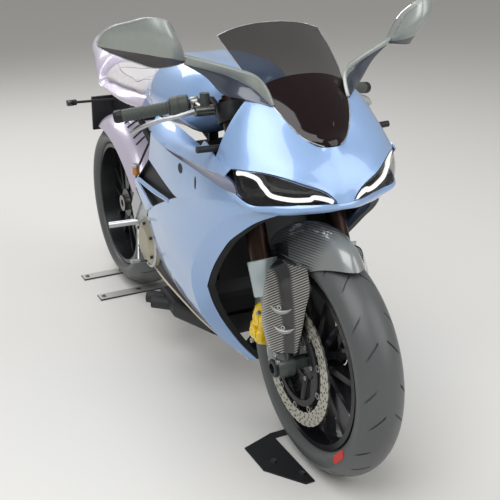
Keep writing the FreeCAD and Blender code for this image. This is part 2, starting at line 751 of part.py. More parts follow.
def bodied(table, to_point):
    """A solid body through rounded sections: each row is a station and its (half, z, radius) corners."""
    wires = []
    for x, corners in table:
        right = [(to_point(x, -half, z), r) for half, z, r in corners]
        left = [(to_point(x, half, z), r) for half, z, r in reversed(corners)]
        wires.append(rounded_wire(right + left))
    return lofted(wires)


TANK_TABLE = [
    # station ahead of the front axle, then half width, height and corner radius, bottom to top
    (-372, ((60, 852, 12), (84, 880, 20), (70, 926, 24))),
    (-430, ((112, 800, 12), (150, 850, 30), (104, 944, 40))),
    (-560, ((128, 790, 12), (172, 850, 34), (112, 958, 46))),
    (-700, ((124, 780, 12), (166, 846, 34), (104, 955, 46))),
    (-830, ((96, 776, 12), (122, 832, 30), (74, 918, 40))),
    (-930, ((84, 772, 12), (92, 810, 16), (62, 850, 20))),
]

SEAT_TABLE = [
    (-934, ((80, 800, 6), (94, 816, 10), (70, 850, 18))),
    (-1040, ((112, 800, 6), (122, 816, 10), (100, 838, 20))),
    (-1180, ((128, 804, 6), (136, 820, 10), (112, 842, 20))),
    (-1290, ((118, 812, 6), (124, 832, 10), (104, 866, 20))),
]


def fuel_tank():
    return bodied(TANK_TABLE, ahead)


def rider_seat():
    return bodied(SEAT_TABLE, ahead)


def tail_unit():
    rows = [(-938, ((74, 746, 10), (118, 768, 14), (100, 799.5, 8))),
            (-1060, ((96, 752, 10), (146, 780, 10), (126, 799.5, 8))),
            (-1180, ((96, 768, 10), (150, 790, 10), (134, 803.5, 8))),
            (-1289.6, ((88, 784, 10), (146, 806, 10), (128, 811.5, 2)))]
    base = bodied(rows, ahead)
    hump_rows = [(-1290.4, ((88, 784, 10), (146, 812, 14), (104, 880, 20))),
                 (-1400, ((72, 826, 10), (124, 868, 20), (80, 920, 24))),
                 (-1540, ((40, 884, 6), (84, 912, 12), (52, 932, 12)))]
    hump = bodied(hump_rows, ahead)
    link = block(ahead(-1296, -80, 786), ahead(-1284, 80, 806))
    return joined([base, hump, link])


def frame_piece(panels, tank):
    """The head tube, two beams that spread to the engine, and the panels' bosses."""
    head = rod(steering_point(LOWER_YOKE_Z).add(STEER_UP * (YOKE_T / 2 + 1)),
               steering_point(UPPER_YOKE_Z).sub(STEER_UP * (YOKE_T / 2 + 1)), HEAD_TUBE_R)
    pieces = [head, block(ahead(-330, -42, 752), ahead(-286, 42, 822))]
    table = [(-300, 34, 788, 9, 34), (-350, 62, 762, 12, 36), (-450, 112, 716, 13, 40),
             (-640, 120, 640, 13, 36), (-740, 116, 586, 13, 34)]
    for s in (-1, 1):
        wires = []
        for x, half, z, w, h in table:
            wires.append(ring_outline([ahead(x, s * half + a * w, z + b * h)
                                       for a, b in ((-1, -1), (1, -1), (1, 1), (-1, 1))]))
        pieces.append(lofted(wires))
        pieces.append(rod(ahead(-640, s * 92, 640), ahead(-640, s * 120, 640), 16))
        pieces.append(rod(ahead(-420, s * 86, 560), ahead(-420, s * 86, 720), 12))
        pieces.append(held(ahead(-470, s * 112, 716), ahead(-470, s * 260, 716), 9, panels))
        pieces.append(held(ahead(-500, s * 60, 730), ahead(-500, s * 60, 860), 14, [tank]))
        pieces.append(rod(ahead(-500, s * 60, 730), ahead(-500, s * 112, 700), 10))
    core = rod(steering_point(LOWER_YOKE_Z), steering_point(UPPER_YOKE_Z), STEM_R + RUN_GAP)
    return joined(pieces).cut(core)


def engine_block(panels):
    """One plain mass: the crankcase with the swingarm's lugs, and two cylinders in a V."""
    nose = -(FRONT_TYRE_R + ENGINE_BEHIND_TYRE)
    case = [ahead(x, -118, z) for x, z in ((-806, 480), (-760, 520), (-520, 520), (nose - 20, 440),
                                           (nose, 330), (nose - 20, 300), (-790, 300), (-806, 360))]
    sump = [ahead(x, -75, z) for x, z in ((nose - 30, 320), (nose - 60, 236), (-700, 226), (-780, 320))]
    front_cylinder = [ahead(x, -84, z) for x, z in ((-560, 430), (nose - 40, 590), (nose + 38, 556),
                                                    (nose - 4, 380))]
    rear_cylinder = [ahead(x, -84, z) for x, z in ((-740, 480), (-746, 690), (-600, 690), (-580, 480))]
    pieces = [plate(case, 236), plate(sump, 150), plate(front_cylinder, 168), plate(rear_cylinder, 168)]
    for s in (-1, 1):
        low = LUG_INNER_Y if s > 0 else -LUG_INNER_Y - LUG_T
        lug = [vec(PIVOT_X + x, low, PIVOT_Z + z) for x, z in
               ((60, -60), (60, 66), (8, 30), (-26, 18), (-30, -10), (-10, -30))]
        pieces.append(plate(lug, LUG_T))
        pieces.append(rod(ahead(-640, s * 80, 640), ahead(-640, s * 92, 640), 16))
        pieces.append(held(ahead(nose - 52, s * 110, 400), ahead(nose - 52, s * 260, 400), 9, panels))
    bore = rod(vec(PIVOT_X, -120, PIVOT_Z), vec(PIVOT_X, 120, PIVOT_Z), PIVOT_PIN_R)
    return joined(pieces).cut(bore)


def engine_covers(sides):
    """The round clutch cover on the right and the generator's cover on the left."""
    clutch = [(0, -118.0), (84, -118.0), (84, -150.0), (76, -184.0), (48, -200.0), (0, -200.0)]
    hub = ahead(-752, 0, 392)
    points = [vec(hub.x, y, hub.z + r) for r, y in clutch]
    right = Part.Face(ring_outline(points)).revolve(hub, Y_AXIS, 360)
    small = ahead(-560, 0, 386)
    left_profile = [(0, 118.0), (60, 118.0), (60, 128.0), (50, 136.0), (0, 136.0)]
    points = [vec(small.x, y, small.z + r) for r, y in left_profile]
    left = Part.Face(ring_outline(points)).revolve(small, Y_AXIS, 360)
    right = max(without(right, sides).Solids, key=lambda piece: piece.Volume)
    return [right, left]


def radiator(engine):
    face = -(FRONT_TYRE_R + RADIATOR_BEHIND_TYRE)
    lean = [ahead(face + x, -RADIATOR_W / 2, z) for x, z in ((0, 400), (40, 636), (16, 640), (-24, 404))]
    mounts = [held(ahead(face + 3, s * 60, 520), ahead(face - 132, s * 60, 520), 8, [engine])
              for s in (-1, 1)]
    return joined([plate(lean, RADIATOR_W)] + mounts)


SWINGARM_TABLE = [
    # ahead of the rear axle, centre height above the axle, half height
    (500, 66, 36),
    (430, 56, 40),
    (330, 40, 44),
    (160, 16, 52),
    (40, 2, 60),
]


def swingarm():
    """A single beam on the left, within the chain's loop, from the pivot tube to the hub housing."""
    y = ARM_INNER_Y + ARM_W / 2
    wires = []
    for x, up, half in SWINGARM_TABLE:
        wires.append(ring_outline([from_rear(x, y + a * ARM_W / 2, REAR_TYRE_R + up + b * half)
                                   for a, b in ((-1, -1), (1, -1), (1, 1), (-1, 1))]))
    beam = lofted(wires)
    reach = LUG_INNER_Y - SEAT_GAP
    tube = rod(vec(PIVOT_X, -reach, PIVOT_Z), vec(PIVOT_X, reach, PIVOT_Z), 30)
    web = [vec(PIVOT_X + x, -40, PIVOT_Z + z) for x, z in
           ((-86, -42), (-30, -20), (-10, -26), (-10, 26), (-30, 24), (-86, 20))]
    cross = plate(web, 40 + LUG_INNER_Y - SEAT_GAP)
    elbow = [vec(PIVOT_X + x, 30, PIVOT_Z + z) for x, z in ((-86, -42), (-50, -30), (-50, 22), (-86, 20))]
    housing = rod(vec(REAR_X, 50, REAR_TYRE_R), vec(REAR_X, ARM_INNER_Y + ARM_W, REAR_TYRE_R),
                  HUB_HOUSING_R)
    core = rod(vec(REAR_X, 40, REAR_TYRE_R), vec(REAR_X, 200, REAR_TYRE_R), REAR_AXLE_R + RUN_GAP)
    pin_hole = rod(vec(PIVOT_X, -140, PIVOT_Z), vec(PIVOT_X, 140, PIVOT_Z), PIVOT_PIN_R)
    pin = rod(vec(PIVOT_X, -LUG_INNER_Y - LUG_T, PIVOT_Z), vec(PIVOT_X, LUG_INNER_Y + LUG_T, PIVOT_Z),
              PIVOT_PIN_R)
    whole = joined([beam, tube, cross, plate(elbow, ARM_INNER_Y - 20), housing]).cut(core)
    return joined([whole.cut(pin_hole), pin])


def rear_hub():
    """The hollow axle and sprocket flange that turn in the swingarm's housing."""
    axle = rod(vec(REAR_X, -58, REAR_TYRE_R), vec(REAR_X, CHAIN_Y + 14, REAR_TYRE_R), REAR_AXLE_R)
    nut = rod(vec(REAR_X, -62, REAR_TYRE_R), vec(REAR_X, -44, REAR_TYRE_R), 30)
    collar = rod(vec(REAR_X, ARM_INNER_Y + ARM_W + 1, REAR_TYRE_R),
                 vec(REAR_X, CHAIN_Y + 3, REAR_TYRE_R), 58)
    bore = rod(vec(REAR_X, -70, REAR_TYRE_R), vec(REAR_X, CHAIN_Y + 30, REAR_TYRE_R), REAR_AXLE_BORE_R)
    return joined([axle, nut, collar]).cut(bore)


def rear_sprocket():
    """The toothed ring stops short of the rollers, because the chain is still while it turns."""
    tip = REAR_SPROCKET_R - ROLLER_R - TOOTH_GAP
    root = tip - 6.0
    step = 2 * math.pi / REAR_TEETH
    points = []
    for i in range(REAR_TEETH):
        for r, share in ((root, 0.0), (root, 0.36), (tip, 0.58), (tip, 0.78)):
            angle = (i + share) * step
            points.append(vec(REAR_X + r * math.cos(angle), CHAIN_Y - 3, REAR_TYRE_R + r * math.sin(angle)))
    bore = rod(vec(REAR_X, CHAIN_Y - 10, REAR_TYRE_R), vec(REAR_X, CHAIN_Y + 10, REAR_TYRE_R), 58)
    return Part.Face(ring_outline(points)).extrude(vec(0, 6, 0)).cut(bore)


def rear_disc():
    """The rear rotor is carried by a sleeve on the wheel's hub."""
    profile = [(34, 4.0), (46, 4.0), (46, REAR_DISC_Y - DISC_T / 2), (70, REAR_DISC_Y - DISC_T / 2),
               (REAR_DISC_R, REAR_DISC_Y - DISC_T / 2), (REAR_DISC_R, REAR_DISC_Y + DISC_T / 2),
               (34, REAR_DISC_Y + DISC_T / 2)]
    whole = revolved(profile, REAR_HUB)
    for i in range(6):
        turn = 2 * math.pi * i / 6
        window = rod(vec(REAR_X + 68 * math.cos(turn), REAR_DISC_Y - 9, REAR_TYRE_R + 68 * math.sin(turn)),
                     vec(REAR_X + 68 * math.cos(turn), REAR_DISC_Y + 9, REAR_TYRE_R + 68 * math.sin(turn)), 14)
        whole = whole.cut(window)
    return whole


def rear_caliper():
    """It straddles the rear disc below the beam and bolts to the hub's housing."""
    turn = math.radians(-40)
    out = vec(math.cos(turn), 0, math.sin(turn))
    along = vec(-math.sin(turn), 0, math.cos(turn))
    centre = vec(REAR_X, 12, REAR_TYRE_R).add(out * 104)
    corners = [centre.add(along * (a * 42)).add(out * (b * 24))
               for a, b in ((-1, -1), (-0.8, 1), (0.8, 1), (1, -1))]
    body = Part.Face(ring_outline(corners)).extrude(vec(0, 40, 0))
    slot = revolved([(50, REAR_DISC_Y - 5), (REAR_DISC_R + 3, REAR_DISC_Y - 5),
                     (REAR_DISC_R + 3, REAR_DISC_Y + 5), (50, REAR_DISC_Y + 5)], REAR_HUB)
    foot = vec(REAR_X, 52, REAR_TYRE_R)
    lug = rod(foot.add(out * 76), foot.add(out * 76).add(vec(0, 12, 0)), 20)
    housing = rod(vec(REAR_X, 50, REAR_TYRE_R), vec(REAR_X, 140, REAR_TYRE_R), HUB_HOUSING_R)
    return joined([body, lug]).cut(slot).cut(housing)


def chain_outline(inset):
    """The chain's path at a distance outside the pitch line, as a closed wire with two arcs."""
    rear = vec(REAR_X, 0, REAR_TYRE_R)
    front = vec(PIVOT_X + FRONT_SPROCKET_AHEAD, 0, PIVOT_Z)
    r1, r2 = REAR_SPROCKET_R + inset, FRONT_SPROCKET_R + inset
    run = front.sub(rear)
    span = math.atan2(run.z, run.x)
    lean = math.acos((r1 - r2) / run.Length)

    def on(centre, r, angle):
        return vec(centre.x + r * math.cos(angle), CHAIN_Y - CHAIN_W / 2, centre.z + r * math.sin(angle))

    a, b = span + lean, span - lean
    edges = [
        Part.LineSegment(on(rear, r1, a), on(front, r2, a)).toShape(),
        Part.Arc(on(front, r2, a), on(front, r2, span), on(front, r2, b)).toShape(),
        Part.LineSegment(on(front, r2, b), on(rear, r1, b)).toShape(),
        Part.Arc(on(rear, r1, b), on(rear, r1, span + math.pi), on(rear, r1, a)).toShape(),
    ]
    return Part.Wire(edges)


def drive_chain():
    outer = Part.Face(chain_outline(CHAIN_H / 2)).extrude(vec(0, CHAIN_W, 0))
    inner = Part.Face(chain_outline(-ROLLER_R)).extrude(vec(0, CHAIN_W, 0))
    return outer.cut(inner)


def front_sprocket(engine):
    """The small sprocket on the gearbox's output shaft."""
    x, z = PIVOT_X + FRONT_SPROCKET_AHEAD, PIVOT_Z
    wheel = rod(vec(x, CHAIN_Y - 3, z), vec(x, CHAIN_Y + 3, z), FRONT_SPROCKET_R - ROLLER_R)
    shaft = rod(vec(x, 100, z), vec(x, CHAIN_Y + 10, z), 14)
    return joined([wheel, shaft]).cut(engine)


HUGGER_TABLE = [
    # turn about the rear axle from level ahead, lift over the tread, half width, edge's drop below it
    (24, 22, 104, 16),
    (44, 20, 110, 30),
    (64, 19, 112, 36),
    (84, 19, 112, 34),
    (104, 21, 106, 24),
    (118, 24, 90, 10),
]


def rear_hugger(arm):
    rows = []
    for turn, lift, half, drop in HUGGER_TABLE:
        row = []
        for u in (-1.0, -0.86, -0.45, 0.0, 0.45, 0.86, 1.0):
            r = REAR_TYRE_R + lift - (lift + drop) * abs(u) ** 4
            row.append(turned(REAR_HUB, turn, r, u * half))
        rows.append(row)
    guard = skin([list(reversed(rows))], 3.5)
    foot = [turned(REAR_HUB, turn, REAR_TYRE_R + lift, 103)
            for turn, lift in ((6, -85), (4, 15), (21, 25), (30, -12))]
    return joined([guard, plate(foot, 5).cut(arm)])


def exhaust(engine):
    """A flat silencer under the engine with two round outlets on its right."""
    rows = [(-490, ((60, 150, 10), (96, 172, 14), (96, 214, 10))),
            (-660, ((100, 140, 14), (150, 168, 20), (150, 216, 14))),
            (-790, ((90, 146, 14), (146, 176, 20), (140, 216, 14)))]
    box = bodied(rows, ahead)
    outlets = []
    for x in (-700, -748):
        a, b = ahead(x, -120, 186), ahead(x - 52, -182, 190)
        outlets.append(rod(a, b, 20))
    bores = [rod(ahead(x - 22, -146, 187.7), ahead(x - 60, -191.5, 190.6), 16) for x in (-700, -748)]
    stubs = [held(ahead(x, s * 60, 200), ahead(x, s * 60, 260), 12, [engine])
             for x in (-560, -660) for s in (-1, 1)]
    return without(joined([box] + outlets + stubs), bores)


def belly_pan():
    """Pale lower panels between the side fairings, open at the back round the silencer."""
    rows = [[ahead(-326, -40, 158), ahead(-326, 0, 144), ahead(-326, 40, 158)],
            [ahead(-400, -74, 196), ahead(-400, 0, 134), ahead(-400, 74, 196)],
            [ahead(-460, -104, 232), ahead(-464, 0, 124), ahead(-460, 104, 232)]]
    return skin([[list(row) for row in rows]], PANEL_T)


# Mirror shell: lines from its tip to its inner end, and the stalk's lines from the shell to its foot
MIRROR_LINES = {
    "upper": [(-283, 426, 1066), (-266, 424, 1082), (-222, 414, 1104), (-156, 390, 1120), (-112, 360, 1131),
              (-102, 330, 1126), (-126, 300, 1096), (-143, 275, 1039)],
    "bulge": [(-280, 426, 1062), (-236, 418, 1074), (-180, 400, 1086), (-122, 376, 1094), (-86, 348, 1092),
              (-76, 320, 1084), (-98, 292, 1062), (-144, 272, 1034)],
    "crease": [(-280, 426, 1058), (-228, 404, 1056), (-186, 380, 1053), (-150, 356, 1050),
               (-124, 334, 1046), (-112, 314, 1043), (-122, 292, 1036), (-150, 270, 1030)],
    "lower": [(-282, 426, 1056), (-262, 410, 1046), (-240, 396, 1040), (-216, 384, 1034), (-188, 362, 1025),
              (-166, 342, 1018), (-150, 304, 1020), (-156, 269, 1025)],
}
MIRROR_DEPTH = 22
STALK_TOP = [(-158, 300, 1050), (-128, 220, 1022), (-112, 160, 1002), (-96, 118, 984), (-54, 101, 922)]
STALK_LOW = [(-172, 296, 1030), (-146, 215, 1003), (-134, 172, 988), (-124, 140, 966), (-58, 104, 915)]
FOOT_LINE = STALK_LOW[:1] + [(-150, 210, 998), (-148, 176, 954), (-112, 144, 930), (-62, 110, 905)]


def mirror():
    """A pointed shell on a flat stalk that stands on the upper fairing."""
    front = [side_points(MIRROR_LINES[name]) for name in ("upper", "bulge", "crease", "lower")]
    back = [[point.sub(vec(MIRROR_DEPTH, 0, 0)) for point in row] for row in (front[3], front[0])]
    shell = shell_of([list(ring) for ring in zip(*(front + back))])
    stalk = skin([[side_points(line)[::-1] for line in (STALK_TOP, STALK_LOW, FOOT_LINE)]], 8.0)
    return joined([shell, stalk])


def dashboard(stay):
    case = [ahead(x, -66, z) for x, z in ((-164, 902), (-120, 870), (-110, 882), (-148, 920))]
    return joined([plate(case, 132), block(ahead(-142, -16, 828), ahead(-128, 16, 888))]).cut(stay)


def fairing_stay(frame, panels):
    """A truss from the frame's head to the nose, ending on the panels that it holds."""
    spine = rod(ahead(-240, 0, 812), ahead(-130, 0, 820), 12)
    nose = held(ahead(-130, 0, 820), ahead(80, 0, 728), 10, panels)
    pieces = [spine, nose, Part.makeSphere(12, ahead(-130, 0, 820))]
    for s in (-1, 1):
        pieces.append(held(ahead(-130, 0, 820), ahead(-130, s * 260, 830), 8, panels))
        pieces.append(held(ahead(0, 0, 763), ahead(0, s * 260, 748), 7, panels))
    return joined(pieces).cut(frame)


def rearset(s):
    bracket = [ahead(x, -158, z) for x, z in ((-800, 590), (-840, 590), (-862, 486), (-950, 400), (-946, 376),
                                              (-900, 372), (-830, 430))]
    panel = plate(bracket, 8)
    boss = rod(ahead(-818, -151, 578), ahead(-818, -112, 578), 12)
    peg = rod(ahead(-930, -150, 400), ahead(-962, -244, 392), 10)
    pedal = rod(ahead(-890, -150, 384), ahead(-890, -172, 384), 7)
    toe = rod(ahead(-890, -168, 384), ahead(-765, -214, 330), 5)
    tip = rod(ahead(-765, -214, 330), ahead(-765, -240, 332), 6)
    guard = [ahead(x, -163, z) for x, z in ((-862, 490), (-912, 520), (-962, 452), (-942, 400))]
    whole = joined([panel, boss, peg, pedal, toe, tip, Part.makeSphere(6, ahead(-765, -214, 330)),
                    plate(guard, 5)])
    return mirrored(whole) if s > 0 else whole


def rear_reservoir(rails, controls):
    """The rear brake's fluid cup on a stay, with its short hose down to the rearset."""
    foot = ahead(-930, -150, 556)
    top = foot.add(vec(0, 0, RESERVOIR_H))
    cup = joined([rod(foot, top, RESERVOIR_R), rod(top, top.add(vec(0, 0, 7)), RESERVOIR_R + 2)])
    stay = rod(foot.add(vec(0, 0, 24)), ahead(-930, -96, 666), 4)
    bend = foot.add(vec(8, 0, -34))
    hose = [rod(foot, bend, 4), Part.makeSphere(4, bend), rod(bend, ahead(-872, -154, 500), 4)]
    whole = without(joined([cup, stay] + hose), [rails] + controls)
    return max(whole.Solids, key=lambda piece: piece.Volume)


def subframe(engine, frame, tail):
    """Four tubes from the engine and frame to the tail."""
    pieces = []
    for s in (-1, 1):
        pieces.append(rod(ahead(-730, s * 108, 580), ahead(-1240, s * 78, 800), 11))
        pieces.append(rod(ahead(-700, s * 112, 620), ahead(-990, s * 72, 764), 11))
        pieces.append(rod(ahead(-840, s * 108, 626), ahead(-818, s * 112, 578), 10))
    pieces.append(rod(ahead(-1060, -100, 706), ahead(-1060, 100, 706), 9))
    pieces.append(rod(ahead(-820, -110, 640), ahead(-820, 110, 640), 9))
    whole = joined(pieces)
    whole = without(whole, [engine, frame, tail])
    return max(whole.Solids, key=lambda solid: solid.Volume)


def rear_shock(arm, engine):
    low = vec(PIVOT_X - 56, -40, PIVOT_Z + 10)
    high = ahead(-700, -40, 640)
    shaft = low.add(high.sub(low) * 0.42)
    return without(joined([rod(low, high, 12), rod(shaft, low.add(high.sub(low) * 0.8), 24)]), [arm, engine])


def plate_holder(tail):
    """An arm behind the tail that carries the bare plate and the rear indicators."""
    foot = from_rear(PLATE_AHEAD_OF_TYRE - REAR_TYRE_R, 0, 2 * REAR_TYRE_R - PLATE_BELOW_TYRE)
    arm = rod(from_rear(-40, 0, 850), foot.add(vec(6, 0, 80)), 11)
    panel = [foot.add(vec(x, -PLATE_W / 2, z)) for x, z in ((-12, 0), (0, 0), (16, 130), (4, 130))]
    lamp = foot.add(vec(40, 0, 122))
    stalks = [rod(foot.add(vec(34, 0, 116)), lamp.add(vec(0, s * 168, 0)), 5) for s in (-1, 1)]
    lamps = [rod(lamp.add(vec(0, s * 160, 0)), lamp.add(vec(0, s * 196, 0)), 11) for s in (-1, 1)]
    whole = joined([arm, plate(panel, PLATE_W)] + stalks + lamps).cut(tail)
    return max(whole.Solids, key=lambda solid: solid.Volume)


def tail_lamp():
    rows = [(-1540.3, ((50, 894, 4), (80, 911, 4), (54, 924, 4))),
            (-1553, ((46, 898, 3), (70, 911, 3), (50, 920, 3)))]
    return bodied(rows, ahead)


def display_stand():
    """Two flat floor bars under the rear tyre, and a post whose pin holds the hollow rear axle."""
    bars = [block(vec(REAR_X + x - STAND_BAR_W / 2, -STAND_HALF, 0),
                  vec(REAR_X + x + STAND_BAR_W / 2, STAND_LEFT, STAND_BAR_T))
            for x in (STAND_BAR_AHEAD, -STAND_BAR_BEHIND)]
    rail = block(vec(REAR_X - STAND_BAR_BEHIND - STAND_BAR_W / 2, STAND_LEFT - 40, 0),
                 vec(REAR_X + STAND_BAR_AHEAD + STAND_BAR_W / 2, STAND_LEFT, 40))
    post_foot = [vec(REAR_X + x, STAND_LEFT - 36, z) for x, z in
                 ((-60, 38), (60, 38), (26, REAR_TYRE_R - 30), (26, REAR_TYRE_R + 26),
                  (-26, REAR_TYRE_R + 26), (-26, REAR_TYRE_R - 30))]
    post = plate(post_foot, 12)
    pin = rod(vec(REAR_X, CHAIN_Y - 20, REAR_TYRE_R), vec(REAR_X, STAND_LEFT - 30, REAR_TYRE_R),
              REAR_AXLE_BORE_R - RUN_GAP)
    shoulder = rod(vec(REAR_X, CHAIN_Y + 16, REAR_TYRE_R), vec(REAR_X, STAND_LEFT - 30, REAR_TYRE_R), 24)
    return joined(bars + [rail, post, pin, shoulder])


def floor_plates():
    """Low plates on the floor on each side of the front tyre."""
    right = [ahead(x, y, 0) for x, y in ((-164, -66), (80, -66), (80, -92), (-20, -160), (-132, -160))]
    plate_right = Part.Face(ring_outline(right)).extrude(vec(0, 0, FLOOR_PLATE_T))
    bridge = block(ahead(-164, -70, 0), ahead(-140, 70, FLOOR_PLATE_T))
    return joined([plate_right, mirrored(plate_right), bridge])


def side_stand():
    """The stand's leg, folded up along the left side, with its foot at the rear."""
    pivot = side_stand_pivot()
    axis = side_stand_axis()
    back = vec(-1, 0, 0)
    leg_end = pivot.add(back * SIDE_STAND_L)
    bore = rod(pivot.sub(axis * 30), pivot.add(axis * 30), 8 + RUN_GAP)
    eye = rod(pivot.sub(axis * 9), pivot.add(axis * 9), 18)
    leg = rod(pivot.add(back * 12), leg_end, 9)
    side = axis.cross(back).normalize()
    foot_low = leg_end.add(side * -22).add(axis * -22).sub(back * 4)
    corners = [foot_low, foot_low.add(side * 44), foot_low.add(side * 44).add(axis * 36),
               foot_low.add(axis * 36)]
    foot = Part.Face(ring_outline(corners)).extrude(back * 9)
    return joined([eye, leg, foot]).cut(bore)


def side_stand_pivot():
    return ahead(-760, 168, 236)


def side_stand_axis():
    """It leans, so that the leg swings down and outwards."""
    lean = math.radians(15)
    return vec(0, -math.cos(lean), -math.sin(lean))


def side_stand_bracket(engine, exhaust_box):
    pivot = side_stand_pivot()
    axis = side_stand_axis()
    pin = rod(pivot.add(axis * 24), pivot.sub(axis * 14), 8)
    head = rod(pivot.sub(axis * 9.6), pivot.sub(axis * 14), 13)
    boss = rod(pivot.add(axis * 9.6), pivot.add(axis * 24), 17)
    arm = rod(pivot.add(axis * 23), ahead(-720, 104, 318), 12)
    return joined([pin, head, boss, arm]).cut(engine).cut(exhaust_box)


def save(name, shape):
    solids = shape if isinstance(shape, list) else [shape]
    flat = []
    for piece in solids:
        flat += piece.Solids
    whole = flat[0] if len(flat) == 1 else Part.makeCompound(flat)
    whole.exportStep("parts/" + name + ".step")
    print(name, len(flat), round(whole.Volume / 1e6, 3), all(s.isValid() for s in flat))


def main():
    os.makedirs("parts", exist_ok=True)
    save("front_tyre", tyre(FRONT_HUB, FRONT_TYRE_R, FRONT_TYRE_W, FRONT_RIM_R, FRONT_RIM_W))
    save("front_rim", front_wheel_rim())
    save("front_discs", [brake_disc(FRONT_HUB, s * FRONT_DISC_Y, FRONT_DISC_R, DISC_BAND, s * 52.5)
                         for s in (-1, 1)])
    save("rear_tyre", tyre(REAR_HUB, REAR_TYRE_R, REAR_TYRE_W, REAR_RIM_R, REAR_RIM_W))
    save("rear_rim", rear_wheel_rim())
    save("rear_hub", rear_hub())
    save("rear_sprocket", rear_sprocket())
    save("rear_disc", rear_disc())

    tubes = fork_tubes()
    calipers = front_calipers()
    legs = without(fork_legs(), calipers)
    switches = switchgear()
    guard = front_mudguard(tubes)
    save("yokes", yokes())
    save("fork_tubes", tubes)
    save("fork_legs", legs)
    save("front_calipers", calipers)
    save("clip_ons", [clip_on(s) for s in (-1, 1)])
    save("grips", grips())
    save("switchgear", switches)
    save("levers", [without(lever, switches) for lever in levers()])
    save("front_mudguard", guard)
    save("brake_ducts", [without(duct, [guard] + legs.Solids) for duct in brake_ducts()])

    upper = upper_fairing()
    chin_panel = without(chin(), [upper])
    lamps = [without(lamp, [upper, chin_panel]) for lamp in both_sides(headlamp())]
    screen = without(windscreen(), [upper])
    side = without(side_fairing(), [upper, chin_panel] + lamps)
    sides = [side, mirrored(side)]
    tank = fuel_tank()
    tail = tail_unit()
    engine = engine_block(sides)
    frame = frame_piece(sides, tank)
    engine = without(engine, [frame])
    arm = swingarm()
    silencer = exhaust(engine)
    stay = fairing_stay(frame, [upper, chin_panel] + lamps)
    save("upper_fairing", upper)
    save("chin", chin_panel)
    save("headlamps", lamps)
    save("windscreen", screen)
    save("side_fairing_right", sides[0])
    save("side_fairing_left", sides[1])
    save("fuel_tank", tank)
    save("rider_seat", rider_seat())
    save("tail_unit", tail)
    save("frame", frame)
    save("engine_block", engine)
    save("engine_covers", engine_covers(sides))
    save("radiator", radiator(engine))
    save("swingarm", arm)
    save("rear_caliper", rear_caliper())
    save("drive_chain", drive_chain())
    save("front_sprocket", front_sprocket(engine))
    save("rear_hugger", rear_hugger(arm))
    save("exhaust", silencer)
    save("belly_pan", without(belly_pan(), sides + [silencer, engine]))
    save("mirrors", [max(without(one, [upper, screen]).Solids, key=lambda piece: piece.Volume)
                     for one in both_sides(mirror())])
    save("dashboard", dashboard(stay))
    save("fairing_stay", stay)
    rails = subframe(engine, frame, tail)
    save("subframe", rails)
    controls = [without(rearset(s), [rails]) for s in (-1, 1)]
    save("rearsets", controls)
    save("rear_reservoir", rear_reservoir(rails, controls))
    save("rear_shock", rear_shock(arm, engine))
    save("plate_holder", plate_holder(tail))
    save("tail_lamp", tail_lamp())
    save("display_stand", display_stand())
    save("floor_plates", floor_plates())
    save("side_stand", side_stand())
    save("side_stand_bracket", side_stand_bracket(engine, silencer))


if __name__ == "__main__":
    main()
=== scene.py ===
"""Sport bike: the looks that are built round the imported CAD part, laid out as an add-on.

Points are in millimetres ahead of the front axle, out from the centre plane and up from
the floor, as in the part's source, and at() turns them into metres in the part's frame.
"""

import json
import math

import bmesh
import bpy
from bpy.props import FloatProperty, FloatVectorProperty, IntProperty, PointerProperty
from mathutils import Matrix, Vector
from mathutils.bvhtree import BVHTree


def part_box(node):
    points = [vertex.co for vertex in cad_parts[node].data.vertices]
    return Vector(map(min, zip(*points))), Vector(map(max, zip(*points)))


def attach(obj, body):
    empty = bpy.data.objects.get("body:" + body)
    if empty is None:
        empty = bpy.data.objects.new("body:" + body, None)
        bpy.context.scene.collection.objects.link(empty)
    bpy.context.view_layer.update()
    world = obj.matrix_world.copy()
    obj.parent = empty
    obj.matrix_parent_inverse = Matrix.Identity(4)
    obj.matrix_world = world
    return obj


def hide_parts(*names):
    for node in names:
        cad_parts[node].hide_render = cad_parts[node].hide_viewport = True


bl_info = {
    "name": "Sport bike",
    "version": (1, 0, 0),
    "blender": (4, 5, 0),
    "location": "View3D > Sidebar > Sport bike",
    "description": "Builds the bodywork, finishes and fine parts of a sport bike",
    "category": "Add Mesh",
}

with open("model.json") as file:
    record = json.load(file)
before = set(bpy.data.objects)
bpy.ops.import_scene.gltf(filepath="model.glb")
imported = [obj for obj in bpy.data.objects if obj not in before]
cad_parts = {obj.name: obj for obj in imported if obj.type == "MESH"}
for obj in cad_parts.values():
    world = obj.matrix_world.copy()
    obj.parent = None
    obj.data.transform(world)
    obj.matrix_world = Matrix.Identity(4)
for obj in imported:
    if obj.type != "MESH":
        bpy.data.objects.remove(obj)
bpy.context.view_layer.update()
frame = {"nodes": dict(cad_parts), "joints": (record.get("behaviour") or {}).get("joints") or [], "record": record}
JOINTS = {joint["name"]: joint for joint in frame["joints"]}
FRONT_HUB = Vector(JOINTS["front_wheel_spin"]["pos_m"])
REAR_HUB = Vector(JOINTS["rear_wheel_spin"]["pos_m"])

MM = 0.001
MERGE = 0.02 * MM
BEVEL_ABOVE = math.radians(40)
BOTH = (-1, 1)
SIDES = ((-1, "right"), (1, "left"))
UP = Vector((0, 0, 1))
RAKE = math.radians(24.0)
STEER_UP = Vector((-math.sin(RAKE), 0.0, math.cos(RAKE)))
STEER_AHEAD = Vector((math.cos(RAKE), 0.0, math.sin(RAKE)))
FORK_OUT = 112  # mm from the centre plane to each fork leg
BODIES = {node: body for body, nodes in frame["record"]["behaviour"]["bodies"].items() for node in nodes}
PAINT = {}


def linear(code):
    """Turn an sRGB hex colour into the linear one that the shaders use."""
    channels = [int(code[i:i + 2], 16) / 255 for i in (1, 3, 5)]
    return tuple(c / 12.92 if c <= 0.04045 else ((c + 0.055) / 1.055) ** 2.4 for c in channels)


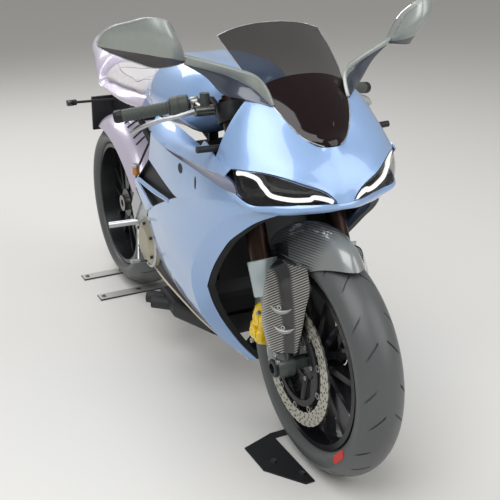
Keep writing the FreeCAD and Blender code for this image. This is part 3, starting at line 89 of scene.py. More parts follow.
def at(ahead, out, up):
    """A point in metres from millimetres ahead of the front axle, out and up."""
    return Vector((FRONT_HUB.x + ahead * MM, out * MM, up * MM))


def on_side(side, points):
    """Points in metres from (ahead, half width, up) in mm, on one side of the centre plane."""
    return [at(ahead, side * half, up) for ahead, half, up in points]


def way(turn):
    """A direction in the centre plane, turned up from straight ahead."""
    return Vector((math.cos(turn), 0, math.sin(turn)))


def round_hub(hub, turn, reach, out=0.0):
    """A point turned up from straight ahead of a hub, at a reach and out to a side, in mm."""
    return hub + Vector((math.cos(turn) * reach, out, math.sin(turn) * reach)) * MM


# Properties

class SportBikeColours(bpy.types.PropertyGroup):
    """The colours that a painter would change."""
    paint: FloatVectorProperty(name="Paint", description="Body panels", subtype="COLOR",
                               default=linear("#93B4E2"), min=0, max=1)
    # Blue darkened as painted shade: it fills the shadowed strip under each side panel's shelf.
    painted_shade_paint: FloatVectorProperty(name="Painted shade", description="Blue darkened as painted shade in the recess under each side shelf",
                                     subtype="COLOR", default=linear("#3A4C7C"), min=0, max=1)
    pearl: FloatVectorProperty(name="Pearl", description="Tail and hugger", subtype="COLOR",
                               default=linear("#CFC8DA"), min=0, max=1)
    caliper: FloatVectorProperty(name="Calipers", description="Front brake calipers",
                                 subtype="COLOR", default=linear("#F4CF00"), min=0, max=1)
    floor: FloatVectorProperty(name="Floor", description="Studio floor and backdrop",
                               subtype="COLOR", default=linear("#DEDDDA"), min=0, max=1)


class SportBikeSizes(bpy.types.PropertyGroup):
    """The sizes of the fine parts."""
    weave: FloatProperty(name="Carbon weave", description="From one pale tow to the next",
                         default=5.6 * MM, min=1.0 * MM, max=20 * MM, unit="LENGTH")
    panel: FloatProperty(name="Panel", description="Thickness of the body panels",
                         default=4.0 * MM, min=2.0 * MM, max=8.0 * MM, unit="LENGTH")


# Shader helpers

def add(tree, kind, settings=(), inputs=(), links=()):
    """Add a node, set its settings and input values, and link sockets to its inputs."""
    node = tree.nodes.new(kind)
    for name, value in dict(settings).items():
        setattr(node, name, value)
    for name, value in dict(inputs).items():
        node.inputs[name].default_value = value
    for name, source in dict(links).items():
        tree.links.new(source, node.inputs[name])
    return node


def surface(name, colour, metallic=0.0, roughness=0.5, **more):
    """A material with one principled shader; more holds its other socket values."""
    material = bpy.data.materials.new(name)
    material.use_nodes = True
    shader = material.node_tree.nodes["Principled BSDF"]
    values = {"Base Color": (*colour, 1.0), "Metallic": metallic, "Roughness": roughness}
    values.update({key.replace("_", " "): value for key, value in more.items()})
    for key, value in values.items():
        shader.inputs[key].default_value = value
    return material, material.node_tree, shader


def maths(tree, operation, a, b=0.0):
    """A math node on two values, each a number or a socket."""
    numbers = {i: value for i, value in ((0, a), (1, b)) if isinstance(value, (int, float))}
    sockets = {i: value for i, value in ((0, a), (1, b)) if i not in numbers}
    return add(tree, "ShaderNodeMath", settings={"operation": operation}, inputs=numbers,
               links=sockets).outputs["Value"]


def object_coordinates(tree, shift=(0, 0, 0)):
    source = add(tree, "ShaderNodeTexCoord")
    return add(tree, "ShaderNodeMapping", inputs={"Location": shift},
               links={"Vector": source.outputs["Object"]}).outputs["Vector"]


def rough_range(tree, shader, low, high, source):
    """Let a noise value set the shader's roughness between low and high."""
    rough = add(tree, "ShaderNodeMapRange", inputs={"To Min": low, "To Max": high}, links={"Value": source})
    tree.links.new(rough.outputs["Result"], shader.inputs["Roughness"])


def relief(tree, shader, strength, distance, height):
    bump = add(tree, "ShaderNodeBump", inputs={"Strength": strength, "Distance": distance},
               links={"Height": height})
    tree.links.new(bump.outputs["Normal"], shader.inputs["Normal"])


def blend_colours(tree, shader, low, high, share):
    """Mix two colours by a socket's value into the shader's base colour."""
    mix = add(tree, "ShaderNodeMix", settings={"data_type": "RGBA"},
              inputs={6: (*low, 1.0), 7: (*high, 1.0)}, links={0: share})
    tree.links.new(mix.outputs[2], shader.inputs["Base Color"])


def speckle(tree, shader, grain, low, high, bump=0.0, colour=None, spread=0.0):
    """Vary roughness between low and high over a grain size in metres, with a bump in metres."""
    where = object_coordinates(tree)
    noise = add(tree, "ShaderNodeTexNoise", inputs={"Scale": 1 / grain, "Detail": 4.0},
                links={"Vector": where}).outputs["Fac"]
    rough_range(tree, shader, low, high, noise)
    if bump:
        relief(tree, shader, 0.6, bump, noise)
    if colour:
        broad = add(tree, "ShaderNodeTexNoise", inputs={"Scale": 0.15 / grain, "Detail": 3.0},
                    links={"Vector": where}).outputs["Fac"]
        blend_colours(tree, shader, colour, [min(1.0, c * (1 + spread)) for c in colour], broad)


# Materials. Each is named for what the real one is and how its surface was made.

TOW_EDGE = 0.08  # softness of a tow's edge, as a share of the pitch
FADE = 20 * MM  # half the length over which the tows fade into the plain base, painted light at the guard's sunlit front
RING = 1.2 * MM  # width of a grinding ring on the discs

def metallic_lacquer(name, colour):
    """Metallic basecoat under clear lacquer: fine flakes below a smooth, glossy top."""
    material, tree, shader = surface(name, colour, metallic=0.30, roughness=0.38, Coat_Weight=1.0,
                                     Coat_Roughness=0.05)
    speckle(tree, shader, 1.5 * MM, 0.30, 0.46, colour=colour, spread=0.06)
    return material


def striped_carbon(name, base, stripe, pitch, across, share, column=None, painted_light_onset=None):
    """Carbon under clear resin with pale tracer tows, one to a pitch along the direction across.

    A column, its middle and half width out from the centre plane, stays dark, and both sides
    are then mirror images. Ahead of a given place the tows fade away into the plain base, as painted light for a
    sunlit front.
    """
    material, tree, shader = surface(name, base, metallic=0.25, roughness=0.34, Coat_Weight=1.0,
                                     Coat_Roughness=0.06)
    place = add(tree, "ShaderNodeSeparateXYZ", links={"Vector": object_coordinates(tree)})
    out = maths(tree, "ABSOLUTE", place.outputs["Y"]) if column else place.outputs["Y"]
    height = maths(tree, "MULTIPLY", place.outputs["Z"], across[2])
    for along, part in ((place.outputs["X"], across[0]), (out, across[1])):
        height = maths(tree, "ADD", height, maths(tree, "MULTIPLY", along, part))
    tow = maths(tree, "FRACT", maths(tree, "DIVIDE", height, pitch))
    line = add(tree, "ShaderNodeMapRange", settings={"interpolation_type": "SMOOTHSTEP"},
               inputs={"From Min": share - TOW_EDGE, "From Max": share + TOW_EDGE}, links={"Value": tow})
    level = line.outputs["Result"]
    if column is not None:
        beside = maths(tree, "ABSOLUTE", maths(tree, "SUBTRACT", out, column[0]))
        outside = add(tree, "ShaderNodeMapRange", settings={"interpolation_type": "SMOOTHSTEP"},
                      inputs={"From Min": column[1] * 0.7, "From Max": column[1] * 1.3},
                      links={"Value": beside})
        level = maths(tree, "MULTIPLY", level, outside.outputs["Result"])
    if painted_light_onset is not None:
        fade = add(tree, "ShaderNodeMapRange",
                   inputs={"From Min": painted_light_onset + FADE, "From Max": painted_light_onset - FADE},
                   links={"Value": place.outputs["X"]})
        level = maths(tree, "MULTIPLY", level, fade.outputs["Result"])
    blend_colours(tree, shader, base, stripe, level)
    relief(tree, shader, 0.4, 0.3 * MM, level)
    return material


def turned_steel(name, hub, colour):
    """Ground stainless rotor steel: fine rings round the axle, clean and half bright."""
    material, tree, shader = surface(name, colour, metallic=1.0, roughness=0.3)
    place = object_coordinates(tree, shift=(-hub.x, 0, -hub.z))
    flat = add(tree, "ShaderNodeVectorMath", settings={"operation": "MULTIPLY"},
               inputs={1: (1, 0, 1)}, links={0: place})
    radius = add(tree, "ShaderNodeVectorMath", settings={"operation": "LENGTH"},
                 links={0: flat.outputs["Vector"]})
    rings = add(tree, "ShaderNodeTexNoise", settings={"noise_dimensions": "1D"},
                inputs={"Scale": 1 / RING, "Detail": 2.0}, links={"W": radius.outputs["Value"]})
    rough_range(tree, shader, 0.22, 0.46, rings.outputs["Fac"])
    return material


def build_materials(context):
    """Every material of the bike, by the record's slot or by the fine part that wears it."""
    colours = context.scene.sport_bike_colours
    sizes = context.scene.sport_bike_sizes
    made = {
        "blue": metallic_lacquer("Metallic lacquer, sky blue", tuple(colours.paint)),
        "deep_blue": metallic_lacquer("Metallic lacquer, shade blue", tuple(colours.painted_shade_paint)),
        "lilac": metallic_lacquer("Pearl lacquer, lilac white", tuple(colours.pearl)),
        "champagne": metallic_lacquer("Metallic lacquer, champagne", linear("#D9CDB8")),
        "carbon": striped_carbon("Clear-coated carbon, tracer tows", linear("#1A1B1E"), linear("#A09E99"),
                                 sizes.weave, (-0.515, 0.133, 0.846), 0.58, column=(0.112, 0.011)),
        # Ahead of the axle, the guard's tows fade into its plain pale base: painted light for its sunlit front.
        "guard_carbon": striped_carbon("Clear-coated carbon, silvered", linear("#868B8B"), linear("#404546"),
                                       sizes.weave * 1.1, (-0.131, 0.437, 0.885), 0.62, painted_light_onset=FRONT_HUB.x + 0.06),
        "disc": turned_steel("Ground rotor steel", FRONT_HUB, linear("#B9B7AC")),
    }
    # Moulded and machined finishes: colour, metallic, roughness range, grain size and bump in mm
    plain = {
        "tyre": ("Vulcanised tread rubber", "#525556", 0.0, 0.32, 0.46, 1.2, 0.10),
        "rim": ("Powder-coated cast aluminium", "#222326", 0.4, 0.16, 0.30, 2.0, 0.02),
        "steel": ("Bright hardened steel", "#8B8B88", 1.0, 0.25, 0.42, 3.0, 0.01),
        "dark_alloy": ("Hard-anodised aluminium, grey", "#3A3B3E", 0.8, 0.35, 0.50, 2.0, 0.02),
        "bronze": ("Anodised aluminium, bronze", "#A8A390", 0.6, 0.34, 0.46, 2.0, 0.02),
        # Dark brown: the tubes' own bronze, darkened all over as painted shade for the shadow that falls on them.
        "fork": ("Anodised fork tube, brown", "#33241E", 0.8, 0.28, 0.38, 3.0, 0.01),
        "silver": ("Blasted aluminium, silver", "#B9BBBD", 0.9, 0.30, 0.45, 1.5, 0.03),
        "black_metal": ("Satin powder coat, black", "#1C1D20", 0.2, 0.40, 0.55, 1.5, 0.03),
        "grip": ("Moulded grip rubber, grey green", "#474D49", 0.0, 0.45, 0.60, 1.0, 0.05),
        "pale_steel": ("Bead-blasted steel, pale", "#B9B8B5", 0.5, 0.35, 0.50, 1.5, 0.02),
        "rubber": ("Moulded grip rubber", "#1B1C1E", 0.0, 0.60, 0.75, 1.0, 0.10),
        "black_plastic": ("Textured polypropylene, black", "#1E1F22", 0.0, 0.50, 0.68, 0.8, 0.08),
        "seat": ("Microfibre seat fabric", "#C6C3C6", 0.0, 0.80, 0.95, 0.8, 0.15),
        # The dark cast finish also covers the exhaust as painted shade.
        "engine": ("Sand-cast aluminium, dark", "#3E3F41", 0.7, 0.50, 0.70, 1.5, 0.20),
        "lip_grey": ("Satin lacquer, silver grey", "#9A9B98", 0.4, 0.30, 0.40, 1.5, 0.01),
        "collar": ("Anodised fork collar, grey green", "#A9B5B8", 0.5, 0.28, 0.38, 1.5, 0.01),
        "fork_alloy": ("Anodised aluminium, grey green", "#7B8382", 0.8, 0.24, 0.36, 2.0, 0.01),
        "keel": ("Satin lacquer, charcoal", "#3A3638", 0.2, 0.34, 0.44, 1.5, 0.01),
        "mirror_shell": ("Satin lacquer, grey green", "#9BA19D", 0.4, 0.30, 0.42, 1.5, 0.01),
    }
    for slot, (name, code, metallic, low, high, grain, bump) in plain.items():
        material, tree, shader = surface(name, linear(code), metallic=metallic, roughness=low)
        speckle(tree, shader, grain * MM, low, high, bump * MM, linear(code), 0.12)
        made[slot] = material
    # Enamelled caliper: smooth, bright and slightly orange-peeled
    material, tree, shader = surface("Enamel, yellow", tuple(colours.caliper), roughness=0.3,
                                     Coat_Weight=0.8, Coat_Roughness=0.08)
    speckle(tree, shader, 3.0 * MM, 0.25, 0.38, 0.02 * MM)
    made["yellow"] = material
    made["slate"] = metallic_lacquer("Metallic lacquer, slate", linear("#343C4C"))
    # Smooth plastics and glass: colour, roughness and the shader's other values. The upper screen
    # lets light through, and the lower part is painted behind.
    smooth = {
        "screen": ("Tinted polycarbonate", "#100608", 0.05, {"Alpha": 0.56, "Specular_IOR_Level": 0.35}),
        "screen_painted": ("Tinted polycarbonate, painted behind", "#16050A", 0.06, {"Specular_IOR_Level": 0.4}),
        "lens": ("Clear polycarbonate lens", "#1A1C20", 0.03, {"Alpha": 0.20, "Coat_Weight": 0.3}),
        "gloss_black": ("Gloss black ABS", "#0B0C0E", 0.18, {"Coat_Weight": 0.6}),
        "light_strip": ("Frosted acrylic light guide", "#FFFFFF", 0.3,
                        {"Emission_Color": (1.0, 0.98, 0.95, 1.0), "Emission_Strength": 1.2}),
        "mirror_glass": ("Silvered glass", "#C9CED2", 0.04, {"metallic": 1.0}),
        "amber": ("Brake fluid in a clear cup", "#B4701F", 0.12, {"Coat_Weight": 1.0}),
        "smoked": ("Smoked acrylic lens", "#2A1A10", 0.12, {"Coat_Weight": 0.5}),
        "red_tag": ("Printed tag, blank red", "#D2372F", 0.5, {}),
        "red_lens": ("Red acrylic lens", "#8E1018", 0.08, {"Coat_Weight": 1.0}),
    }
    for slot, (name, code, rough, more) in smooth.items():
        made[slot] = surface(name, linear(code), roughness=rough, **more)[0]
    return made


# Mesh helpers

def through(points, steps, sharp=()):
    """Sample a smooth curve through every point, steps to a span.

    It kinks at the sharp ones, and leaves and meets the centre plane square to it.
    """
    spans = [b - a for a, b in zip(points, points[1:])]
    sizes = [max(span.length, 1e-7) for span in spans]
    rates = [span / size for span, size in zip(spans, sizes)]
    last = len(rates)
    slopes = [None] + [(rates[i - 1] * sizes[i] + rates[i] * sizes[i - 1]) / (sizes[i - 1] + sizes[i])
                       for i in range(1, last)] + [None]
    for end, rate, beside in ((0, rates[0], 1), (last, rates[-1], last - 1)):
        if abs(points[end].y) < 1e-6 and abs(rate.y) > 0.2:
            slopes[end] = Vector((0, rate.y, 0))
        else:
            slopes[end] = rate if slopes[beside] is None else rate * 1.5 - slopes[beside] * 0.5
    line = []
    for i, size in enumerate(sizes):
        leave = rates[i] if i in sharp else slopes[i]
        meet = rates[i] if i + 1 in sharp else slopes[i + 1]
        for step in range(steps):
            t = step / steps
            line.append(points[i] * (2 * t**3 - 3 * t**2 + 1) + leave * size * (t**3 - 2 * t**2 + t)
                        + points[i + 1] * (3 * t**2 - 2 * t**3) + meet * size * (t**3 - t**2))
    line.append(points[-1].copy())
    return line


def net(mesh, rows, along=6, across=5, sharp=(), creases=(), sides=BOTH):
    """Fill a net of (ahead, half width, height) points with a smooth sheet, on each side asked."""
    for side in sides:
        fine = [through(on_side(side, row), along, sharp) for row in rows]
        lay(mesh, [through(list(column), across, creases) for column in zip(*fine)], flip=side > 0)


def lay(mesh, columns, flip=False, closed=False):
    """Join columns of points with quads in a bmesh."""
    grid = [[mesh.verts.new(point) for point in column] for column in columns]
    if closed:
        grid.append(grid[0])
    for left, right in zip(grid, grid[1:]):
        for j in range(len(left) - 1):
            corners = (left[j], left[j + 1], right[j + 1], right[j])
            mesh.faces.new(corners[::-1] if flip else corners)
    return grid


def relax(mesh, rounds):
    """Even out the inner points of a sheet, so that reflections run over it without waves."""
    bmesh.ops.remove_doubles(mesh, verts=mesh.verts, dist=MERGE)
    inner = [vertex for vertex in mesh.verts if not vertex.is_boundary]
    for _ in range(rounds):
        bmesh.ops.smooth_vert(mesh, verts=inner, factor=0.5, use_axis_x=True, use_axis_y=True, use_axis_z=True)


def fill_holes(mesh):
    bmesh.ops.remove_doubles(mesh, verts=mesh.verts, dist=MERGE)
    edges = [edge for edge in mesh.edges if edge.is_boundary]
    bmesh.ops.holes_fill(mesh, edges=edges, sides=0)


def hand_over(piece, node, hides, sharp_deg):
    """Shade the piece, put it on its CAD node's body and hide that node if asked."""
    piece.data.polygons.foreach_set("use_smooth", [True] * len(piece.data.polygons))
    piece.data.set_sharp_from_angle(angle=math.radians(sharp_deg))
    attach(piece, BODIES[node])
    if hides:
        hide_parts(node)
    return piece


def new_object(name, data):
    piece = bpy.data.objects.new(name, data)
    bpy.context.scene.collection.objects.link(piece)
    return piece


def made(name, mesh, node, slot, hides=False, finish=None, thick=0.0, inside=None, sharp_deg=32.0, round_mm=0.0):
    """Turn a bmesh into a finished piece: merged, facing out, given a wall and soft edges.

    It rides with a CAD node, in the node's place if it hides it. Its finish is the slot's own
    unless another is named.
    """
    bmesh.ops.remove_doubles(mesh, verts=mesh.verts, dist=MERGE)
    bmesh.ops.recalc_face_normals(mesh, faces=mesh.faces)
    if inside is not None:
        outward = sum((face.normal.dot(face.calc_center_median() - inside) * face.calc_area()
                       for face in mesh.faces), 0.0)
        if outward < 0:
            bmesh.ops.reverse_faces(mesh, faces=mesh.faces)
    data = bpy.data.meshes.new(name)
    mesh.to_mesh(data)
    mesh.free()
    piece = new_object(name, data)
    if thick:
        wall = piece.modifiers.new("wall", "SOLIDIFY")
        wall.thickness, wall.offset, wall.use_even_offset = thick, -1.0, False
    if round_mm:
        edge = piece.modifiers.new("edge", "BEVEL")
        edge.width, edge.segments, edge.limit_method = round_mm * MM, 2, "ANGLE"
        edge.angle_limit = BEVEL_ABOVE
    bake(piece)
    piece.data.materials.clear()
    piece.data.materials.append(PAINT[finish or slot])
    return hand_over(piece, node, hides, sharp_deg)


def sheet(name, rows, node, slot, hides=False, along=6, across=4, sharp=(), creases=(), sides=BOTH, **look):
    """A piece that is one smooth sheet through rows of points."""
    mesh = bmesh.new()
    net(mesh, rows, along, across, sharp, creases, sides)
    return made(name, mesh, node, slot, hides, **look)


def pipe(name, path, radius, node, slot, count=6, hides=False, **look):
    """A piece that is one round tube."""
    mesh = bmesh.new()
    tube(mesh, path, radius, count)
    return made(name, mesh, node, slot, hides, sharp_deg=60, **look)


def bake(piece):
    """Leave the piece as a plain mesh, with its modifiers applied and removed."""
    if not piece.modifiers:
        return
    seen = piece.evaluated_get(bpy.context.evaluated_depsgraph_get())
    data = bpy.data.meshes.new_from_object(seen)
    piece.modifiers.clear()
    piece.data = data


def close_ends(mesh, grid):
    for ring in (grid[0], grid[-1]):
        mesh.faces.new(ring[:-1])


def tube(mesh, path, radius, count=10):
    """A round tube along a line of points, with its ends closed."""
    rings = []
    for i, point in enumerate(path):
        run = (path[min(i + 1, len(path) - 1)] - path[max(i - 1, 0)]).normalized()
        side = run.cross(UP)
        if side.length < 0.1:
            side = run.cross(Vector((0, 1, 0)))
        side.normalize()
        top = side.cross(run)
        r = radius[i] if isinstance(radius, (list, tuple)) else radius
        rings.append([point + (side * math.cos(turn) + top * math.sin(turn)) * r
                      for turn in (k * math.tau / count for k in range(count + 1))])
    close_ends(mesh, lay(mesh, rings))


def slab(mesh, corners, run):
    """A flat plate: the corners pushed along run."""
    near = [mesh.verts.new(corner) for corner in corners]
    far = [mesh.verts.new(corner + run) for corner in corners]
    mesh.faces.new(near[::-1])
    mesh.faces.new(far)
    for i in range(len(corners)):
        j = (i + 1) % len(corners)
        mesh.faces.new((near[i], near[j], far[j], far[i]))


def spun(mesh, profile, base, axis, count=40, closed=False):
    """Turn a profile of (radius, distance along) in mm round an axis; closed profiles make rings."""
    axis = axis.normalized()
    side = axis.cross(UP if abs(axis.z) < 0.9 else Vector((1, 0, 0))).normalized()
    top = side.cross(axis)
    line = list(profile) + ([profile[0]] if closed else [])
    columns = []
    for k in range(count):
        out = side * math.cos(k * math.tau / count) + top * math.sin(k * math.tau / count)
        columns.append([base + out * r * MM + axis * run * MM for r, run in line])
    lay(mesh, columns, closed=True)


# Repeated small parts, made by node groups. Each group sets one shape on every point that it gets.

def socket_group(name, inputs):
    """A node group with a geometry input and output and the named size inputs."""
    group = bpy.data.node_groups.new(name, "GeometryNodeTree")
    for label, kind in (("Geometry", "Geometry"), *inputs):
        group.interface.new_socket(name=label, in_out="INPUT", socket_type="NodeSocket" + kind)
    group.interface.new_socket(name="Geometry", in_out="OUTPUT", socket_type="NodeSocketGeometry")
    return group, add(group, "NodeGroupInput"), add(group, "NodeGroupOutput")


def finish_group(group, start, end, geometry):
    """Realise the instances and give them the chosen material."""
    real = add(group, "GeometryNodeRealizeInstances", links={"Geometry": geometry})
    coated = add(group, "GeometryNodeSetMaterial",
                 links={"Geometry": real.outputs["Geometry"], "Material": start.outputs["Material"]})
    group.links.new(coated.outputs["Geometry"], end.inputs["Geometry"])


def screw_group():
    """A socket-head screw on each point, standing along the point's axis attribute."""
    group, start, end = socket_group("Screws", (("Head radius", "Float"), ("Head height", "Float"),
                                                ("Socket share", "Float"), ("Material", "Material")))
    head = add(group, "GeometryNodeMeshCylinder", inputs={"Vertices": 12},
               links={"Radius": start.outputs["Head radius"], "Depth": start.outputs["Head height"]})
    lip = add(group, "GeometryNodeExtrudeMesh", inputs={"Offset Scale": 0.0},
              links={"Mesh": head.outputs["Mesh"], "Selection": head.outputs["Top"]})
    small = add(group, "GeometryNodeScaleElements",
                links={"Geometry": lip.outputs["Mesh"], "Selection": lip.outputs["Top"],
                       "Scale": start.outputs["Socket share"]})
    drop = add(group, "ShaderNodeMath", settings={"operation": "MULTIPLY"}, inputs={1: -0.6},
               links={0: start.outputs["Head height"]})
    sunk = add(group, "GeometryNodeExtrudeMesh",
               links={"Mesh": small.outputs["Geometry"], "Selection": lip.outputs["Top"],
                      "Offset Scale": drop.outputs["Value"]})
    axis = add(group, "GeometryNodeInputNamedAttribute", settings={"data_type": "FLOAT_VECTOR"},
               inputs={"Name": "axis"})
    aim = add(group, "FunctionNodeAlignRotationToVector", settings={"axis": "Z"},
              links={"Vector": axis.outputs["Attribute"]})
    placed = add(group, "GeometryNodeInstanceOnPoints",
                 links={"Points": start.outputs["Geometry"], "Instance": sunk.outputs["Mesh"],
                        "Rotation": aim.outputs["Rotation"]})
    finish_group(group, start, end, placed.outputs["Instances"])
    return group


PLATE = 1.8 * MM
ROLLER = 5.0 * MM
NARROWER = 6.0 * MM  # the inner links' plates against the chain's whole width
ROLLER_SHORTER = 1.0 * MM


def chain_group():
    """Links along the points: wide and narrow pairs of plates in turn, with a roller at each joint."""
    group, start, end = socket_group("Chain links", (("Pitch", "Float"), ("Plate height", "Float"),
                                                     ("Width", "Float"), ("Material", "Material")))
    pitch, width = start.outputs["Pitch"], start.outputs["Width"]
    axis = add(group, "GeometryNodeInputNamedAttribute", settings={"data_type": "FLOAT_VECTOR"},
               inputs={"Name": "axis"})
    aim = add(group, "FunctionNodeAlignRotationToVector", settings={"axis": "X", "pivot_axis": "Y"},
              links={"Vector": axis.outputs["Attribute"]})

    def drum(sizes, sockets):
        """A cylinder with eight sides that lies across the chain."""
        upright = add(group, "GeometryNodeMeshCylinder", inputs={"Vertices": 8, **sizes}, links=sockets)
        return add(group, "GeometryNodeTransform", inputs={"Rotation": (math.pi / 2, 0, 0)},
                   links={"Geometry": upright.outputs["Mesh"]}).outputs["Geometry"]

    def moved(shape, axis_name, size, share):
        """The shape moved along an axis by a share of a size."""
        place = add(group, "ShaderNodeCombineXYZ", links={axis_name: maths(group, "MULTIPLY", size, share)})
        return add(group, "GeometryNodeTransform",
                   links={"Geometry": shape, "Translation": place.outputs["Vector"]}).outputs["Geometry"]

    def joined(shapes):
        whole = add(group, "GeometryNodeJoinGeometry")
        for shape in shapes:
            group.links.new(shape, whole.inputs["Geometry"])
        return whole.outputs["Geometry"]

    def plates(apart):
        eye = drum({"Depth": PLATE}, {"Radius": maths(group, "MULTIPLY", start.outputs["Plate height"], 0.5)})
        eyes = joined([moved(eye, "X", pitch, share) for share in (-0.5, 0.5)])
        plate = add(group, "GeometryNodeConvexHull", links={"Geometry": eyes}).outputs["Convex Hull"]
        return joined([moved(plate, "Y", apart, share) for share in (-0.5, 0.5)])

    def on_points(shape, **chosen):
        return add(group, "GeometryNodeInstanceOnPoints",
                   links={"Points": start.outputs["Geometry"], "Instance": shape,
                          "Rotation": aim.outputs["Rotation"], **chosen}).outputs["Instances"]

    odd = maths(group, "MODULO", add(group, "GeometryNodeInputIndex").outputs["Index"], 2)
    even = maths(group, "SUBTRACT", 1.0, odd)
    roller = drum({"Radius": ROLLER}, {"Depth": maths(group, "SUBTRACT", width, ROLLER_SHORTER)})
    finish_group(group, start, end, joined(
        [on_points(plates(maths(group, "SUBTRACT", width, less)), Selection=chosen)
         for less, chosen in ((PLATE, odd), (NARROWER, even))] + [on_points(moved(roller, "X", pitch, 0.5))]))
    return group


def repeat(name, group, spots, node, slot, finish, hides=False, **sizes):
    """Set the group's shape on spots of (place, axis) and keep the result as a plain mesh."""
    data = bpy.data.meshes.new(name)
    data.from_pydata([place for place, axis in spots], [], [])
    axes = data.attributes.new("axis", "FLOAT_VECTOR", "POINT")
    for entry, (place, axis) in zip(axes.data, spots):
        entry.vector = axis.normalized()
    piece = new_object(name, data)
    pattern = piece.modifiers.new("pattern", "NODES")
    pattern.node_group = group
    sizes["material"] = PAINT[finish]
    for item in group.interface.items_tree:
        label = item.name.lower().replace(" ", "_")
        if item.in_out == "INPUT" and label in sizes:
            pattern[item.identifier] = sizes[label]
    bake(piece)
    return hand_over(piece, node, hides, 30.0)


def screws(name, group, spots, node, slot, radius, height, share, finish):
    """Socket-head screws on spots of (place, axis): head radius and height in mm, socket's share."""
    return repeat(name, group, spots, node, slot, finish, head_radius=radius * MM, head_height=height * MM,
                  socket_share=share)


# Wheels

TREAD_SHARES = (0.0, 0.09, 0.16, 0.18, 0.3, 0.42, 0.54, 0.66, 0.72, 0.74, 0.86, 0.93, 1.0)
TYRES = (  # with the radius, width, rim's radius and bead's half width in mm
    ("front_tyre", FRONT_HUB, 300.0, 120.0, 227.0, 41.0),
    ("rear_tyre", REAR_HUB, 316.0, 190.0, 229.0, 70.0))
SIPES = 22
SIPE_DEPTH = 4.0
SIPE_REACH = ((0.16, 0.66), (0.42, 0.86))  # in turn, as shares of the half tread
SIPE_SLANT = 0.62


class SPORTBIKE_OT_tyres(bpy.types.Operator):
    """Builds both tyres with their slanted sipes"""
    bl_idname = "sport_bike.tyres"
    bl_label = "Tyres"

    def profile(self, radius, width, rim_radius, bead):
        """Half of the section as (radius, half width, share of the tread, normal) from the crown out."""
        half, drop = width / 2, 0.30 * width
        crown = (half * half + drop * drop) / (2 * drop)
        line = []
        for share in TREAD_SHARES:
            lean = math.asin(half / crown) * share
            line.append((radius - crown * (1 - math.cos(lean)), crown * math.sin(lean), share,
                         math.cos(lean), math.sin(lean)))
        shoulder, wall = radius - drop, half * 0.995
        for part in (0.25, 0.5, 0.75, 1.0):
            line.append((shoulder + (rim_radius - shoulder) * part, wall + (bead - wall) * part ** 3, 1.0, 0.0, 1.0))
        return line

    def execute(self, context):
        for node, hub, radius, width, rim_radius, bead in TYRES:
            right = self.profile(radius, width, rim_radius, bead)
            section = [(r, -y, share, nr, -ny) for r, y, share, nr, ny in right[::-1]] + right[1:]
            section.append(section[0])
            span = math.tau / SIPES
            arc = span * radius
            mesh = bmesh.new()
            lay(mesh, [self.column(hub, section, radius, width, pitch * span + offset / radius, cut, pitch % 2)
                       for pitch in range(SIPES)
                       for offset, cut in ((-3.4, 0), (-2.4, 1), (2.4, 1), (3.4, 0), (arc / 3, 0), (arc * 2 / 3, 0))],
                closed=True)
            made(node + "_tread", mesh, node, "tyre", True, sharp_deg=40)
        return {"FINISHED"}

    def column(self, hub, section, radius, width, turn, cut, outer):
        """The section at one turn, sunk where a sipe cuts it and leaning back towards the shoulder."""
        low, high = SIPE_REACH[outer]
        points = []
        for r, y, share, nr, ny in section:
            depth = SIPE_DEPTH if cut and low < share < high else 0.0
            points.append(round_hub(hub, turn - share * width * SIPE_SLANT / radius, r - nr * depth, y - ny * depth))
        return points


DISC_INNER, DISC_OUTER, DISC_OUT, DISC_HALF = 124.0, 160.0, 75, 2.5
DISC_CELLS, DISC_ROWS, DISC_HOLE = 36, 3, 2.7
CARRIER_RIM = [(94, 72.5), (110, 72.5), (110, 77.5), (94, 77.5)]  # radius and place out, in mm
CARRIER_HUB = [(37, 50), (50, 50), (50, 55), (37, 55)]
CARRIER_ARM = ((42, -15, 50), (42, 15, 50), (102, 9, 72.5), (102, -9, 72.5))  # radius, aside and out
ARMS, BOBBINS = 5, 10


